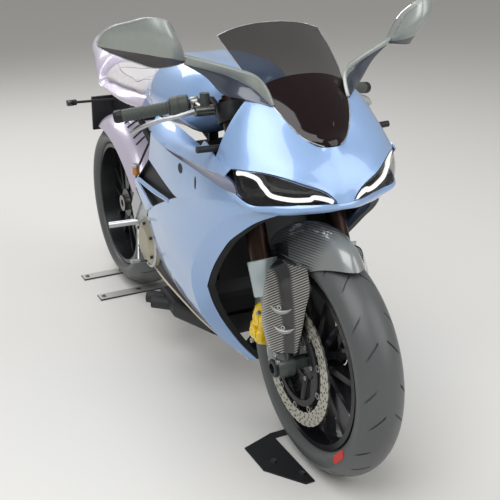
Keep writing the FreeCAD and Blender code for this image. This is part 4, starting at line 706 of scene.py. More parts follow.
class SPORTBIKE_OT_brakes(bpy.types.Operator):
    """Builds the drilled front discs on their carriers, with their bobbins and bolts"""
    bl_idname = "sport_bike.brakes"
    bl_label = "Front brakes"

    def drilled(self, mesh, side):
        """The friction band: a ring of cells, each with a round hole through it."""
        for cell in range(DISC_CELLS):
            for row in range(DISC_ROWS):
                self.cell(mesh, side, cell, row)

    def cell(self, mesh, side, cell, row):
        step, tall = math.tau / DISC_CELLS, (DISC_OUTER - DISC_INNER) / DISC_ROWS
        centre = DISC_INNER + tall * (row + 0.5)
        middle = (cell + 0.5) * step + (row - 1) * 0.9 * step / 3
        rims = []
        for level in (side * (DISC_OUT - DISC_HALF), side * (DISC_OUT + DISC_HALF)):
            corners, hole = [], []
            for k in range(8):
                turn = math.tau * (k + 0.5) / 8
                aside, up = (max(-1, min(1, 1.45 * part(turn))) / 2 for part in (math.cos, math.sin))
                corners.append(round_hub(FRONT_HUB, (cell + 0.5 + aside) * step, centre + up * tall, level))
                hole.append(round_hub(FRONT_HUB, middle + DISC_HOLE * math.cos(turn) / centre,
                                      centre + DISC_HOLE * math.sin(turn), level))
            rims.append([[mesh.verts.new(point) for point in ring] for ring in (corners, hole)])
        for k in range(8):
            j = (k + 1) % 8
            for corners, hole in rims:
                mesh.faces.new((corners[k], corners[j], hole[j], hole[k]))
            mesh.faces.new((rims[0][1][k], rims[0][1][j], rims[1][1][j], rims[1][1][k]))
            if (row == 0 and k in (4, 5, 6)) or (row == DISC_ROWS - 1 and k in (0, 1, 2)):
                mesh.faces.new((rims[0][0][k], rims[0][0][j], rims[1][0][j], rims[1][0][k]))

    def execute(self, context):
        node = "front_discs"
        bobbins, bolts = [], []
        for side, name in SIDES:
            mesh = bmesh.new()
            self.drilled(mesh, side)
            made("disc_band_" + name, mesh, node, "disc", side < 0, sharp_deg=30)
            mesh = bmesh.new()
            out = Vector((0, side, 0))
            spun(mesh, CARRIER_RIM, FRONT_HUB, out, 60, True)
            spun(mesh, CARRIER_HUB, FRONT_HUB, out, 40, True)
            for arm in range(ARMS):
                turn = math.tau * arm / ARMS
                foot = [round_hub(FRONT_HUB, turn + edge / reach, reach, side * level)
                        for reach, edge, level in CARRIER_ARM]
                slab(mesh, foot, out * 5 * MM)
                bolts.append((round_hub(FRONT_HUB, turn, 44, side * 56.5), out))
            made("disc_carrier_" + name, mesh, node, "disc", finish="black_metal", round_mm=0.6)
            bobbins += [(round_hub(FRONT_HUB, math.tau * (k + 0.5) / BOBBINS, 117, side * DISC_OUT), out)
                        for k in range(BOBBINS)]
        group = screw_group()
        screws("disc_bobbins", group, bobbins, node, "disc", 9, 8, 0.55, "steel")
        screws("disc_bolts", group, bolts, node, "disc", 5.5, 4, 0.5, "silver")
        return {"FINISHED"}


CHAIN_PITCH = 15.875 * MM
FRONT_TEETH, REAR_TEETH = 15, 42


class SPORTBIKE_OT_chain(bpy.types.Operator):
    """Builds the roller chain, link by link, round both sprockets"""
    bl_idname = "sport_bike.chain"
    bl_label = "Drive chain"

    def execute(self, context):
        low, high = (corner[1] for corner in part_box("drive_chain"))
        small, large = (CHAIN_PITCH / (2 * math.sin(math.pi / teeth)) for teeth in (FRONT_TEETH, REAR_TEETH))
        front, rear = at(-788, 0, 400), REAR_HUB.copy()
        front.y = rear.y = (low + high) / 2
        run = front - rear
        tilt = math.atan2(run.z, run.x)
        lean = math.asin((large - small) / run.length)
        stretch = math.sqrt(run.length ** 2 - (large - small) ** 2)
        top, bottom = tilt + math.pi / 2 - lean, tilt - math.pi / 2 + lean
        legs = (("arc", rear, large, top, large * (math.tau - (top - bottom))),
                ("line", rear, large, bottom, stretch),
                ("arc", front, small, bottom, small * (top - bottom)),
                ("line", front, small, top, stretch))
        length = sum(leg[-1] for leg in legs)
        count = 2 * round(length / CHAIN_PITCH / 2)
        spots = []
        for link in range(count):
            left = length * link / count
            for kind, centre, reach, turn, leg in legs:
                if left <= leg:
                    break
                left -= leg
            if kind == "arc":
                turn, left = turn + left / reach, 0.0
            ahead = Vector((-math.sin(turn), 0, math.cos(turn)))
            spots.append((centre + way(turn) * reach + ahead * left, ahead))
        repeat("chain_links", chain_group(), spots, "drive_chain", "steel", "steel", True,
               pitch=length / count, plate_height=12.5 * MM, width=high - low)
        return {"FINISHED"}


# Body panels: points measured on the photograph, (ahead of the front axle, half width, height) in mm

NOSE_SPOKES = [  # from the screen's edge out to the lamp, the brow and the hand notch
    [(42, 0, 841), (66, 0, 808), (89, 0, 768), (100, 0, 727)],
    [(36, 20, 841), (61, 24, 809), (87, 15, 768), (97, 24, 729)],
    [(30, 28, 842), (56, 46, 815), (80, 44, 782), (95, 35, 744)],
    [(15, 50, 853), (40, 74, 824), (60, 92, 800), (72, 102, 777)],
    [(-4, 66, 870), (18, 94, 839), (25, 140, 818), (16, 166, 797)],
    [(-28, 84, 896), (-12, 108, 868), (-20, 166, 843), (-14, 196, 799)],
    [(-56, 96, 920), (-48, 124, 902), (-60, 184, 866), (-44, 214, 800)],
    [(-84, 106, 942), (-80, 142, 924), (-92, 194, 869), (-80, 218, 805)],
    [(-112, 115, 958), (-108, 148, 932), (-107, 198, 868), (-122, 216, 811)],
]
SHELF = [(-44, 214, 800), (-80, 218, 805), (-122, 216, 811), (-201, 205, 827), (-290, 180, 790),
         (-400, 164, 788), (-510, 158, 796), (-640, 168, 803)]
TROUGH = [(-46, 222, 792), (-84, 224, 792), (-124, 224, 795), (-200, 218, 797), (-292, 206, 788),
          (-402, 196, 780), (-512, 188, 778), (-636, 184, 782)]
RIDGE = [(-49, 228, 784), (-90, 230, 782), (-130, 230, 779), (-200, 229, 775), (-294, 225, 768),
         (-404, 219, 760), (-480, 215, 756), (-631, 195, 764)]
HOLLOW = [(-38, 205, 741), (-100, 208, 736), (-180, 211, 740), (-290, 213, 745), (-404, 218, 752),
          (-480, 215, 756), (-560, 206, 759), (-631, 195, 764)]
NECK = [(0, 192, 716), (-90, 214, 712), (-180, 221, 690), (-290, 219, 664), (-398, 215, 636),
        (-500, 210, 650), (-580, 204, 664), (-657, 198, 678)]
FLANK_OUTER = NECK[:5] + [(-500, 211, 597), (-624, 205, 545), (-700, 197, 510), (-696, 190, 439),
                          (-665, 170, 338), (-511, 110, 226), (-334, 45, 142)]
FLANK_MIDDLE = [(4, 188, 712), (-76, 212, 697), (-155, 220, 668), (-240, 224, 633), (-325, 226, 596),
                (-395, 226, 554), (-470, 221, 505), (-520, 212, 458), (-520, 202, 384),
                (-498, 170, 302), (-448, 113, 214), (-332, 43, 144)]
ARCH_CREASE = [(8, 180, 708), (-62, 206, 682), (-124, 214, 645), (-178, 219, 604), (-228, 221, 557),
               (-270, 221, 512), (-308, 218, 466), (-338, 208, 405), (-350, 186, 330),
               (-366, 150, 262), (-384, 105, 200), (-330, 41, 146)]
ARCH_EDGE = [(28, 132, 698), (-20, 165, 672), (-72, 184, 634), (-118, 191, 600), (-160, 192, 562),
             (-205, 190, 520), (-254, 186, 468), (-300, 179, 412), (-328, 150, 340),
             (-346, 102, 250), (-340, 64, 190), (-317, 30, 149)]
VENT_FLANGE = [[(-624, 205, 545), (-716, 198, 566), (-800, 190, 584)],
               [(-700, 197, 510), (-768, 193, 540), (-824, 187, 570)]]
VENT_CORNERS = ((-657, 198, 678), (-398, 215, 636), (-624, 205, 545), (-800, 190, 584))
VENT_DEPTH = 16 * MM
VENT_BLADE = [[(-798, 188, 592), (-640, 200, 600), (-470, 212, 612)],
              [(-795, 194, 586), (-640, 207, 592), (-470, 215, 604)],
              [(-782, 188, 576), (-640, 200, 582), (-480, 211, 598)]]
CHIN_ROWS = [
    [(99, 0, 726), (98, 24, 727), (62, 90, 724), (33, 130, 723), (7, 188, 726), (-38, 206, 741)],
    [(102, 0, 719), (100, 26, 718), (66, 93, 716), (37, 134, 714), (8, 193, 717), (-42, 214, 738)],
    [(95, 0, 711), (90, 30, 708), (60, 80, 701), (28, 130, 697), (-10, 180, 705), (-46, 208, 727)],
    [(60, 0, 708), (56, 30, 706), (30, 76, 702), (0, 118, 700), (-34, 160, 706), (-64, 190, 722)],
]
LAMP_TOP = [(97, 24, 730), (95, 36, 744), (72, 102, 777), (16, 166, 797), (-14, 196, 799), (-38, 212, 799)]
LAMP_BOTTOM = [(98, 24, 728), (86, 48, 727), (61, 90, 725), (32, 138, 724), (6, 190, 727), (-38, 206, 742)]
LAMP_STRIP = (  # along the lamp from the nose and up it, as shares
    (0.93, 0.86), (0.82, 0.90), (0.72, 0.84), (0.65, 0.52), (0.58, 0.22), (0.46, 0.16), (0.35, 0.24),
    (0.27, 0.50), (0.17, 0.52), (0.07, 0.40))
SCREEN_ROWS = [  # ahead and height on the centre line, then ahead, half width and height at the edge
    (43, 844, 36, 21, 843), (36, 855, 25, 38, 849), (18, 869, 8, 56, 859), (-6, 894, -16, 76, 884),
    (-44, 931, -56, 96, 920), (-104, 983, -112, 115, 958), (-190, 1042, -193, 130, 1012),
    (-276, 1084, -273, 138, 1061)]
SCREEN_SPLIT = 5  # the row up to which the screen is painted
NOSE_ROUNDS = 30
WAIST = Vector((FRONT_HUB.x - 0.35, 0.0, 0.55))


def inward(row, out=22, back=0):
    return [(ahead - back, max(half - out, 6), up) for ahead, half, up in row]


def between(first, second, ahead=0, out=0):
    """The row midway between two, pushed ahead and out."""
    return [((a + c) / 2 + ahead, (b + d) / 2 + out, (e + f) / 2) for (a, b, e), (c, d, f) in zip(first, second)]


class SPORTBIKE_OT_upper_fairing(bpy.types.Operator):
    """Builds the nose panel that runs round the foot of the screen"""
    bl_idname = "sport_bike.upper_fairing"
    bl_label = "Upper fairing"

    def execute(self, context):
        mesh = bmesh.new()
        net(mesh, NOSE_SPOKES)
        relax(mesh, NOSE_ROUNDS)
        made("upper_fairing_skin", mesh, "upper_fairing", "blue", True,
             thick=context.scene.sport_bike_sizes.panel, inside=WAIST)
        return {"FINISHED"}


class SPORTBIKE_OT_side_fairings(bpy.types.Operator):
    """Builds each side panel with its shelf, hollow, vent and the lip round the wheel"""
    bl_idname = "sport_bike.side_fairings"
    bl_label = "Side fairings"

    def execute(self, context):
        thick = context.scene.sport_bike_sizes.panel
        for side, name in SIDES:
            node, sides = "side_fairing_" + name, (side,)
            inside = at(-330, side * 60, 500)
            mesh = bmesh.new()
            net(mesh, [SHELF, TROUGH, RIDGE], creases=(2,), sides=sides)
            net(mesh, [HOLLOW, NECK], across=8, sides=sides)
            net(mesh, [FLANK_OUTER, FLANK_MIDDLE, ARCH_CREASE], across=8, sharp=(7,), sides=sides)
            net(mesh, [ARCH_CREASE, ARCH_EDGE], across=3, sharp=(7,), sides=sides)
            net(mesh, VENT_FLANGE, across=2, sides=sides)
            made(node + "_skin", mesh, node, "blue", True, thick=thick, inside=inside)
            # The strip between the ridge and the hollow wears the darker blue, painted shade for the shadow under the
            # shelf's overhang.
            top, bottom = RIDGE[:7], HOLLOW[:6] + [RIDGE[6]]
            sheet("side_hollow_" + name, [top, between(top, bottom, out=-7)[:6] + [RIDGE[6]], bottom], node,
                  "deep_blue", sides=sides, thick=thick, inside=inside)
            mesh = bmesh.new()
            net(mesh, [inward(ARCH_EDGE, 3), inward(ARCH_EDGE)], across=2, sharp=(7,), sides=sides)
            net(mesh, [inward(row[1:], 7, 9) for row in (FLANK_OUTER, FLANK_MIDDLE, ARCH_CREASE)],
                along=4, across=3, sharp=(6,), sides=sides)
            made("side_liner_" + name, mesh, node, "black_plastic", thick=1.5 * MM, inside=inside)
            self.vent(side, name, node)
        return {"FINISHED"}

    def vent(self, side, name, node):
        """The scoop's dark well, with the diagonal blade across its mouth."""
        top, right, bottom, left = VENT_CORNERS
        upper = through(on_side(side, (right, *NECK[5:7], top)), 6)
        lower = through(on_side(side, (right, FLANK_OUTER[5], bottom)), 6)
        rim = upper + on_side(side, [left]) + lower[:0:-1]
        deep = [point + Vector((0, -side * VENT_DEPTH, 0)) for point in rim]
        mesh = bmesh.new()
        lay(mesh, list(zip(rim, deep)), closed=True)
        mesh.faces.new([mesh.verts.new(point) for point in deep])
        bmesh.ops.triangulate(mesh, faces=[face for face in mesh.faces if len(face.verts) > 4])
        made("vent_well_" + name, mesh, node, "black_plastic", thick=2 * MM, inside=at(-600, side * 400, 610))
        sheet("vent_blade_" + name, VENT_BLADE, node, "blue", across=3, sides=(side,), thick=3 * MM,
              inside=at(-600, side * 100, 600))


class SPORTBIKE_OT_chin(bpy.types.Operator):
    """Builds the blue rim that runs under both lamps"""
    bl_idname = "sport_bike.chin"
    bl_label = "Chin"

    def execute(self, context):
        sheet("chin_rim", CHIN_ROWS, "chin", "blue", True, thick=3 * MM, inside=at(20, 0, 760))
        return {"FINISHED"}


class SPORTBIKE_OT_headlamps(bpy.types.Operator):
    """Builds each slit lamp: a black well, a white light strip and a clear lens"""
    bl_idname = "sport_bike.headlamps"
    bl_label = "Headlamps"

    def execute(self, context):
        node, rows = "headlamps", [LAMP_TOP, between(LAMP_TOP, LAMP_BOTTOM, ahead=5, out=3), LAMP_BOTTOM]
        deep = [[(ahead - 26, half - 10, up) for ahead, half, up in row] for row in rows]
        for side, name in SIDES:
            look = {"sides": (side,), "thick": 2 * MM, "inside": at(-40, side * 90, 760)}
            sheet("lamp_lens_" + name, rows, node, "lens", side < 0, across=6, **look)
            sheet("lamp_well_" + name, [LAMP_TOP] + deep + [LAMP_BOTTOM], node, "black_plastic",
                  finish="gloss_black", creases=(1, 3), **look)
            self.light_strip(side, name, rows, node)
        return {"FINISHED"}

    def light_strip(self, side, name, rows, node):
        """The strip runs on a sheet just behind the lens."""
        lines = [through([at(ahead - 9, side * (half - 4), up) for ahead, half, up in row], 12) for row in rows]
        grid = [through(list(column), 12) for column in zip(*lines)]

        def on_lamp(along, up):
            x, y = along * (len(grid) - 1), (1 - up) * (len(grid[0]) - 1)
            i, j = min(int(x), len(grid) - 2), min(int(y), len(grid[0]) - 2)
            near, far = (column[j] * (1 - y + j) + column[j + 1] * (y - j) for column in grid[i:i + 2])
            return near * (1 - x + i) + far * (x - i)
        line = through([Vector((along, up, 0)) for along, up in LAMP_STRIP], 6)
        pipe("lamp_strip_" + name, [on_lamp(point.x, min(max(point.y, 0.04), 0.96)) for point in line], 5.4 * MM,
             node, "lens", 8, finish="light_strip")


class SPORTBIKE_OT_screen(bpy.types.Operator):
    """Builds the tinted screen: see-through above, painted from behind below"""
    bl_idname = "sport_bike.screen"
    bl_label = "Screen"

    def row(self, mid_x, mid_z, edge_x, half, edge_z):
        """Half a row, from the centre line round to the edge."""
        points = []
        for share in (0.0, 0.35, 0.7, 1.0):
            bend = share ** 2.4
            points.append((mid_x + (edge_x - mid_x) * bend, half * share, mid_z + (edge_z - mid_z) * bend))
        return points

    def execute(self, context):
        rows = [self.row(*line) for line in SCREEN_ROWS]
        node = "windscreen"
        for name, part, finish, hides in (("screen_upper", rows[SCREEN_SPLIT:], "screen", True),
                                          ("screen_lower", rows[:SCREEN_SPLIT + 1], "screen_painted", False)):
            sheet(name, part, node, "screen", hides, along=8, across=6, finish=finish, thick=3 * MM,
                  inside=at(-300, 0, 800))
        mesh = bmesh.new()
        edges = [on_side(side, [row[-1] for row in rows]) for side in BOTH]
        top = on_side(-1, rows[-1][::-1]) + on_side(1, rows[-1][1:])
        for line in (*edges, top):
            tube(mesh, through(line, 8), 1.5 * MM, 6)
        made("screen_rim", mesh, node, "steel", finish="silver", sharp_deg=60)
        return {"FINISHED"}


MIRROR_UPPER = [(-283, 426, 1066), (-266, 424, 1082), (-222, 414, 1104), (-156, 390, 1120), (-112, 360, 1131),
                (-102, 330, 1126), (-126, 300, 1096), (-143, 275, 1039)]
MIRROR_BULGE = [(-280, 426, 1062), (-244, 416, 1076), (-188, 400, 1088), (-132, 376, 1096), (-98, 348, 1092),
                (-90, 322, 1084), (-108, 294, 1062), (-144, 272, 1034)]
MIRROR_CREASE = [(-280, 426, 1058), (-228, 404, 1056), (-186, 380, 1053), (-150, 356, 1050), (-124, 334, 1046),
                 (-112, 314, 1043), (-122, 292, 1036), (-150, 270, 1030)]
MIRROR_LOWER = [(-282, 426, 1056), (-262, 410, 1046), (-240, 396, 1040), (-216, 384, 1034), (-188, 362, 1025),
                (-166, 342, 1018), (-150, 304, 1020), (-156, 269, 1025)]
STALK_TOP = [(-143, 276, 1040), (-128, 220, 1022), (-112, 160, 1002), (-96, 118, 984), (-56, 101, 929)]
STALK_LOW = [(-160, 270, 1020), (-146, 215, 1003), (-134, 172, 988), (-120, 136, 968), (-60, 104, 926)]
FOOT_LOW = [(-160, 270, 1020), (-150, 222, 988), (-140, 186, 948), (-104, 148, 938), (-60, 104, 926)]


class SPORTBIKE_OT_mirrors(bpy.types.Operator):
    """Builds each mirror's shell and glass on its flat stalk"""
    bl_idname = "sport_bike.mirrors"
    bl_label = "Mirrors"

    def execute(self, context):
        node = "mirrors"
        back = [[(ahead - 22, half - 4, up) for ahead, half, up in row] for row in (MIRROR_UPPER, MIRROR_LOWER)]
        glass = [[(ahead + 2, half, up) for ahead, half, up in row] for row in back]
        for side, name in SIDES:
            sides, shell = (side,), {"thick": 2.5 * MM, "inside": at(-190, side * 350, 1066), "sharp_deg": 40}
            mesh = bmesh.new()
            net(mesh, [MIRROR_UPPER, MIRROR_BULGE, MIRROR_CREASE], along=5, across=6, sides=sides)
            net(mesh, [MIRROR_UPPER, back[0]], along=5, across=1, sides=sides)
            made("mirror_shell_" + name, mesh, node, "mirror_shell", side < 0, **shell)
            mesh = bmesh.new()
            net(mesh, [MIRROR_CREASE, MIRROR_LOWER], along=5, across=3, sides=sides)
            net(mesh, [MIRROR_LOWER, back[1]], along=5, across=1, sides=sides)
            made("mirror_keel_" + name, mesh, node, "black_plastic", finish="keel", **shell)
            edge = [through(on_side(side, row), 5) for row in (MIRROR_UPPER, MIRROR_LOWER)]
            pipe("mirror_rim_" + name, edge[0] + edge[1][::-1], 1.4 * MM, node, "silver")
            sheet("mirror_glass_" + name, glass, node, "lens", along=5, across=8, sides=sides,
                  finish="mirror_glass", thick=3 * MM, inside=at(0, side * 330, 1070))
            sheet("mirror_stalk_" + name, [STALK_TOP, STALK_LOW], node, "mirror_shell", across=2, sides=sides,
                  thick=9 * MM, inside=at(-200, side * 150, 900), round_mm=2)
            sheet("mirror_foot_" + name, [STALK_LOW, FOOT_LOW], node, "deep_blue", sides=sides, finish="slate",
                  thick=5 * MM, inside=at(-200, side * 120, 900), round_mm=1)
        return {"FINISHED"}


TANK_SECTIONS = [  # ahead of the front axle, then half width and height from the underside to the top
    (-362, ((0, 866), (34, 868), (50, 886), (40, 908), (0, 914))),
    (-376, ((0, 850), (60, 852), (86, 880), (74, 926), (0, 938))),
    (-430, ((0, 798), (112, 800), (150, 850), (108, 942), (0, 956))),
    (-560, ((0, 788), (128, 790), (172, 850), (116, 956), (0, 964))),
    (-700, ((0, 778), (124, 780), (166, 846), (106, 952), (0, 962))),
    (-830, ((0, 774), (96, 776), (122, 832), (76, 914), (0, 924))),
    (-928, ((0, 770), (84, 772), (92, 810), (62, 848), (0, 854))),
    (-934, ((0, 790), (50, 791), (60, 810), (44, 832), (0, 836))),
]
SEAT_SECTIONS = [
    (-940, ((0, 806), (64, 806), (76, 818), (58, 836), (0, 840))),
    (-954, ((0, 800), (84, 800), (98, 816), (74, 842), (0, 848))),
    (-1040, ((0, 800), (110, 800), (124, 816), (102, 834), (0, 836))),
    (-1180, ((0, 804), (126, 804), (138, 820), (114, 840), (0, 838))),
    (-1270, ((0, 810), (120, 811), (130, 828), (108, 856), (0, 858))),
    (-1288, ((0, 822), (96, 822), (106, 836), (90, 854), (0, 856))),
]
TAIL_SECTIONS = [
    (-942, ((0, 752), (70, 750), (112, 768), (98, 797), (0, 798))),
    (-1060, ((0, 750), (98, 752), (146, 780), (127, 797), (0, 798))),
    (-1180, ((0, 768), (98, 770), (151, 792), (135, 802), (0, 802))),
    (-1280, ((0, 784), (92, 785), (148, 806), (130, 812), (0, 812))),
    (-1294, ((0, 786), (90, 788), (146, 812), (106, 874), (0, 884))),
    (-1400, ((0, 826), (74, 828), (124, 868), (82, 918), (0, 930))),
    (-1500, ((0, 866), (50, 868), (98, 898), (62, 930), (0, 938))),
    (-1538, ((0, 886), (36, 888), (76, 914), (46, 930), (0, 934))),
]
MUDGUARD_BANDS = [  # turn on the centre line and at the edge, lift over the tread, half width, edge's drop
    (61, 78, 18, 66, 36), (67, 85, 36, 68, 40), (77, 93, 46, 70, 42), (91, 102, 44, 72, 36),
    (108, 113, 40, 71, 24), (124, 125, 38, 66, 4)]
DUCT_ROWS = [  # height over the axle, then ahead and half width from the outer wall round to the inner
    (268, (-34, 100), (-6, 104), (28, 92), (54, 76), (10, 75)),
    (247, (-42, 121), (-18, 120), (27, 100), (60, 74), (10, 74)),
    (211, (-42, 136), (-22, 135), (22, 108), (61, 72), (5, 71)),
    (170, (-42, 142), (-15, 141), (25, 113), (58, 80), (5, 80)),
    (120, (-42, 146), (-5, 145), (28, 116), (53, 86), (5, 86)),
    (50, (-30, 139), (12, 139), (30, 118), (43, 94), (10, 92)),
]
HUGGER_BANDS = [
    (24, 24, 22, 104, 16), (44, 44, 20, 110, 30), (64, 64, 19, 112, 36), (84, 84, 19, 112, 34),
    (104, 104, 21, 106, 24), (118, 118, 24, 90, 10)]


def section_rows(sections):
    return [[(station, half, up) for half, up in corners] for station, corners in sections]


class SPORTBIKE_OT_tank_and_tail(bpy.types.Operator):
    """Builds the painted tank and the pearl tail unit"""
    bl_idname = "sport_bike.tank_and_tail"
    bl_label = "Tank and tail"

    def execute(self, context):
        for node, sections, slot in (("fuel_tank", TANK_SECTIONS, "blue"), ("tail_unit", TAIL_SECTIONS, "lilac")):
            mesh = bmesh.new()
            net(mesh, section_rows(sections))
            fill_holes(mesh)
            made(node + "_skin", mesh, node, slot, True, sharp_deg=38)
        return {"FINISHED"}


SEAT_MIDDLE = 812  # height in mm that the shrunken pad keeps
SEAT_NARROWER, SEAT_LOWER = 0.96, 0.8
CLOTH_VOXEL = 5 * MM
CLOTH_PRESSURE = 4
CLOTH_FRAMES = 20
CLOTH_FURTHEST = 8 * MM


class SPORTBIKE_OT_seat(bpy.types.Operator):
    """Builds the seat pad, swollen by cloth pressure inside its cover"""
    bl_idname = "sport_bike.seat"
    bl_label = "Seat"

    def execute(self, context):
        sections = SEAT_SECTIONS
        sections = [(station, [(half * SEAT_NARROWER, SEAT_MIDDLE + (up - SEAT_MIDDLE) * SEAT_LOWER)
                               for half, up in corners]) for station, corners in SEAT_SECTIONS]
        mesh = bmesh.new()
        net(mesh, section_rows(sections), across=6)
        fill_holes(mesh)
        pad = made("seat_pad", mesh, "rider_seat", "seat", True, sharp_deg=80)
        self.swell(context.scene, pad)
        self.seams(pad)
        return {"FINISHED"}

    def swell(self, scene, pad):
        """Blow the cover up as cloth, moving no point further than allowed, and leave a plain mesh."""
        skin = pad.modifiers.new("skin", "REMESH")
        skin.mode, skin.voxel_size = "VOXEL", CLOTH_VOXEL
        bake(pad)
        before = [vertex.co.copy() for vertex in pad.data.vertices]
        cover = pad.modifiers.new("cover", "CLOTH")
        cover.settings.use_pressure = True
        cover.settings.uniform_pressure_force = CLOTH_PRESSURE
        cover.settings.effector_weights.gravity = 0
        for step in range(1, CLOTH_FRAMES + 1):
            scene.frame_set(step)
        bake(pad)
        scene.frame_set(1)
        for vertex, start in zip(pad.data.vertices, before):
            move = vertex.co - start
            if move.length > CLOTH_FURTHEST:
                vertex.co = start + move.normalized() * CLOTH_FURTHEST
        smooth = pad.modifiers.new("smooth", "SUBSURF")
        smooth.levels = smooth.render_levels = 1
        bake(pad)
        pad.data.materials.clear()
        pad.data.materials.append(PAINT["seat"])
        pad.data.polygons.foreach_set("use_smooth", [True] * len(pad.data.polygons))

    def seams(self, pad):
        """Two piped seams run over the pad from side to side, and one along each side of its crown."""
        tree = skin_tree(pad.name)
        lines = [[at(station + 12 * (1 - (k / 10 - 1) ** 2), (k / 10 - 1) * half, 920) for k in range(21)]
                 for station, half in ((-1010, 84), (-1210, 92))]
        crown = [(-968, 62, 920), (-1010, 84, 920), (-1100, 94, 920), (-1210, 92, 920), (-1268, 80, 920)]
        lines += [through(on_side(side, crown), 6) for side in BOTH]
        mesh = bmesh.new()
        for line in lines:
            tube(mesh, [land(tree, start, -UP)[0] for start in line], 1.5 * MM, 6)
        made("seat_piping", mesh, "rider_seat", "seat", finish="lip_grey", sharp_deg=60)


def arc_rows(hub, bands, power):
    """Rows of points over a tyre: each band bends down to its edge on both sides alike."""
    rows = []
    for turn, edge_turn, lift, half, drop in bands:
        row = []
        for share in (0.0, 0.3, 0.55, 0.78, 0.92, 1.0):
            angle = math.radians(turn + (edge_turn - turn) * share ** 2)
            reach = hub.z / MM + lift - (lift + drop) * share ** power
            row.append(((hub.x - FRONT_HUB.x) / MM + math.cos(angle) * reach, half * share,
                        hub.z / MM + math.sin(angle) * reach))
        rows.append(row)
    return rows


class SPORTBIKE_OT_guards(bpy.types.Operator):
    """Builds the front mudguard, the brake ducts and the rear hugger"""
    bl_idname = "sport_bike.guards"
    bl_label = "Mudguard, ducts and hugger"

    def execute(self, context):
        for node, hub, bands, power, slot, finish in (
                ("front_mudguard", FRONT_HUB, MUDGUARD_BANDS, 2.2, "carbon", "guard_carbon"),
                ("rear_hugger", REAR_HUB, HUGGER_BANDS, 4.0, "lilac", "lilac")):
            sheet(node + "_skin", arc_rows(hub, bands, power), node, slot, True, along=5, across=6, finish=finish,
                  thick=3 * MM, inside=Vector((hub.x, 0, hub.z)))
        self.holders()
        rows = [[(ahead, half, FRONT_HUB.z / MM + up) for ahead, half in line] for up, *line in DUCT_ROWS]
        for side, name in SIDES:
            sheet("brake_duct_" + name, rows, "brake_ducts", "carbon", side < 0, across=6, sides=(side,),
                  thick=3 * MM, inside=at(-100, side * 115, 450), sharp_deg=50)
        return {"FINISHED"}

    def tab(self, mesh, hub, corners, out, thick):
        """A flat tab: its corners as (turn in degrees, lift over the tyre), out from the centre plane."""
        slab(mesh, [round_hub(hub, math.radians(turn), hub.z / MM + lift, out) for turn, lift in corners],
             Vector((0, thick * MM, 0)))

    def holders(self):
        """The tabs, pins and stays that hold the mudguard, the ducts and the hugger."""
        pin = FRONT_HUB + STEER_UP * (FRONT_HUB.z / MM - 26) * MM
        tabs, stays = bmesh.new(), bmesh.new()
        for side in BOTH:
            self.tab(tabs, FRONT_HUB, ((120.4, -3), (103.5, 0), (99.5, -34), (118.6, -49)), side * 67.5, side * 3.5)
            tube(tabs, [pin + Vector((0, side * out * MM, 0)) for out in (70, 90)], 8 * MM, 14)
            tube(stays, on_side(side, ((-18, FORK_OUT, 400), (30, FORK_OUT, 400))), 7 * MM, 12)
        made("mudguard_tabs", tabs, "front_mudguard", "carbon", finish="black_plastic")
        made("duct_stays", stays, "brake_ducts", "carbon", finish="black_plastic")
        mesh = bmesh.new()
        self.tab(mesh, REAR_HUB, ((6, -70), (4, 15), (21, 25), (30, -12)), 101.5, 5)
        made("hugger_foot", mesh, "rear_hugger", "lilac", round_mm=1)


# Parts laid on the finished skins

def skin_tree(name):
    """A search tree over a finished piece, to lay small parts on its surface."""
    data = bpy.data.objects[name].data
    return BVHTree.FromPolygons([vertex.co.copy() for vertex in data.vertices],
                                [list(face.vertices) for face in data.polygons])


def land(tree, start, run):
    """Where a ray first meets the surface, and the surface's direction towards the ray's start."""
    place, normal, _, _ = tree.ray_cast(start, run.normalized())
    if place is None:
        raise ValueError("nothing to lay the part on at %s" % start)
    return place, (normal if normal.dot(run) < 0 else -normal)


def inlay(mesh, tree, outline, run, lift, steps=5):
    """A thin sheet on the surface inside an outline of starting points."""
    middle = sum(outline, Vector()) / len(outline)
    columns = []
    for point in outline:
        column = []
        for step in range(steps):
            place, normal = land(tree, middle.lerp(point, step / (steps - 1)), run)
            column.append(place + normal * lift)
        columns.append(column)
    lay(mesh, columns, closed=True)


def rounded(middle, across, up, half_long, half_high, power=2.0, count=24):
    """Starting points on a rounded outline in the plane of two directions, with its halves in mm."""
    points = []
    for k in range(count):
        c, s = math.cos(math.tau * k / count), math.sin(math.tau * k / count)
        points.append(middle + across * (math.copysign(abs(c) ** (2 / power), c) * half_long * MM)
                      + up * (math.copysign(abs(s) ** (2 / power), s) * half_high * MM))
    return points


class SPORTBIKE_OT_panel_marks(bpy.types.Operator):
    """Lays the slots on the body panels, and along each ridge a silver tube as a painted highlight"""
    bl_idname = "sport_bike.panel_marks"
    bl_label = "Panel marks"

    def execute(self, context):
        for side, name in SIDES:
            node = "side_fairing_" + name
            tree = skin_tree(node + "_skin")
            mesh = bmesh.new()
            for ahead, up, long, high, lean in ((-356, 726, 14, 13, 0.7), (-260, 712, 5, 16, 0.1)):
                along = way(lean)
                inlay(mesh, tree, rounded(at(ahead, side * 300, up), along, Vector((-along.z, 0, along.x)),
                                          long, high), Vector((0, -side, 0)), 0.6 * MM)
            made("side_slots_" + name, mesh, node, "blue", finish="black_plastic", thick=1 * MM,
                 inside=at(-330, 0, 700))
            # A silver tube along each ridge: a painted highlight for the bright line where the shelf's edge catches
            # the light.
            line = through(on_side(side, [(ahead, half + 1.0, up + 1.0) for ahead, half, up in RIDGE[:7]]), 8)
            pipe("side_ridge_" + name, line, [1.8 * MM] * (len(line) - 6) + [1.4 * MM] * 4 + [0.8 * MM] * 2,
                 node, "silver")
        return {"FINISHED"}


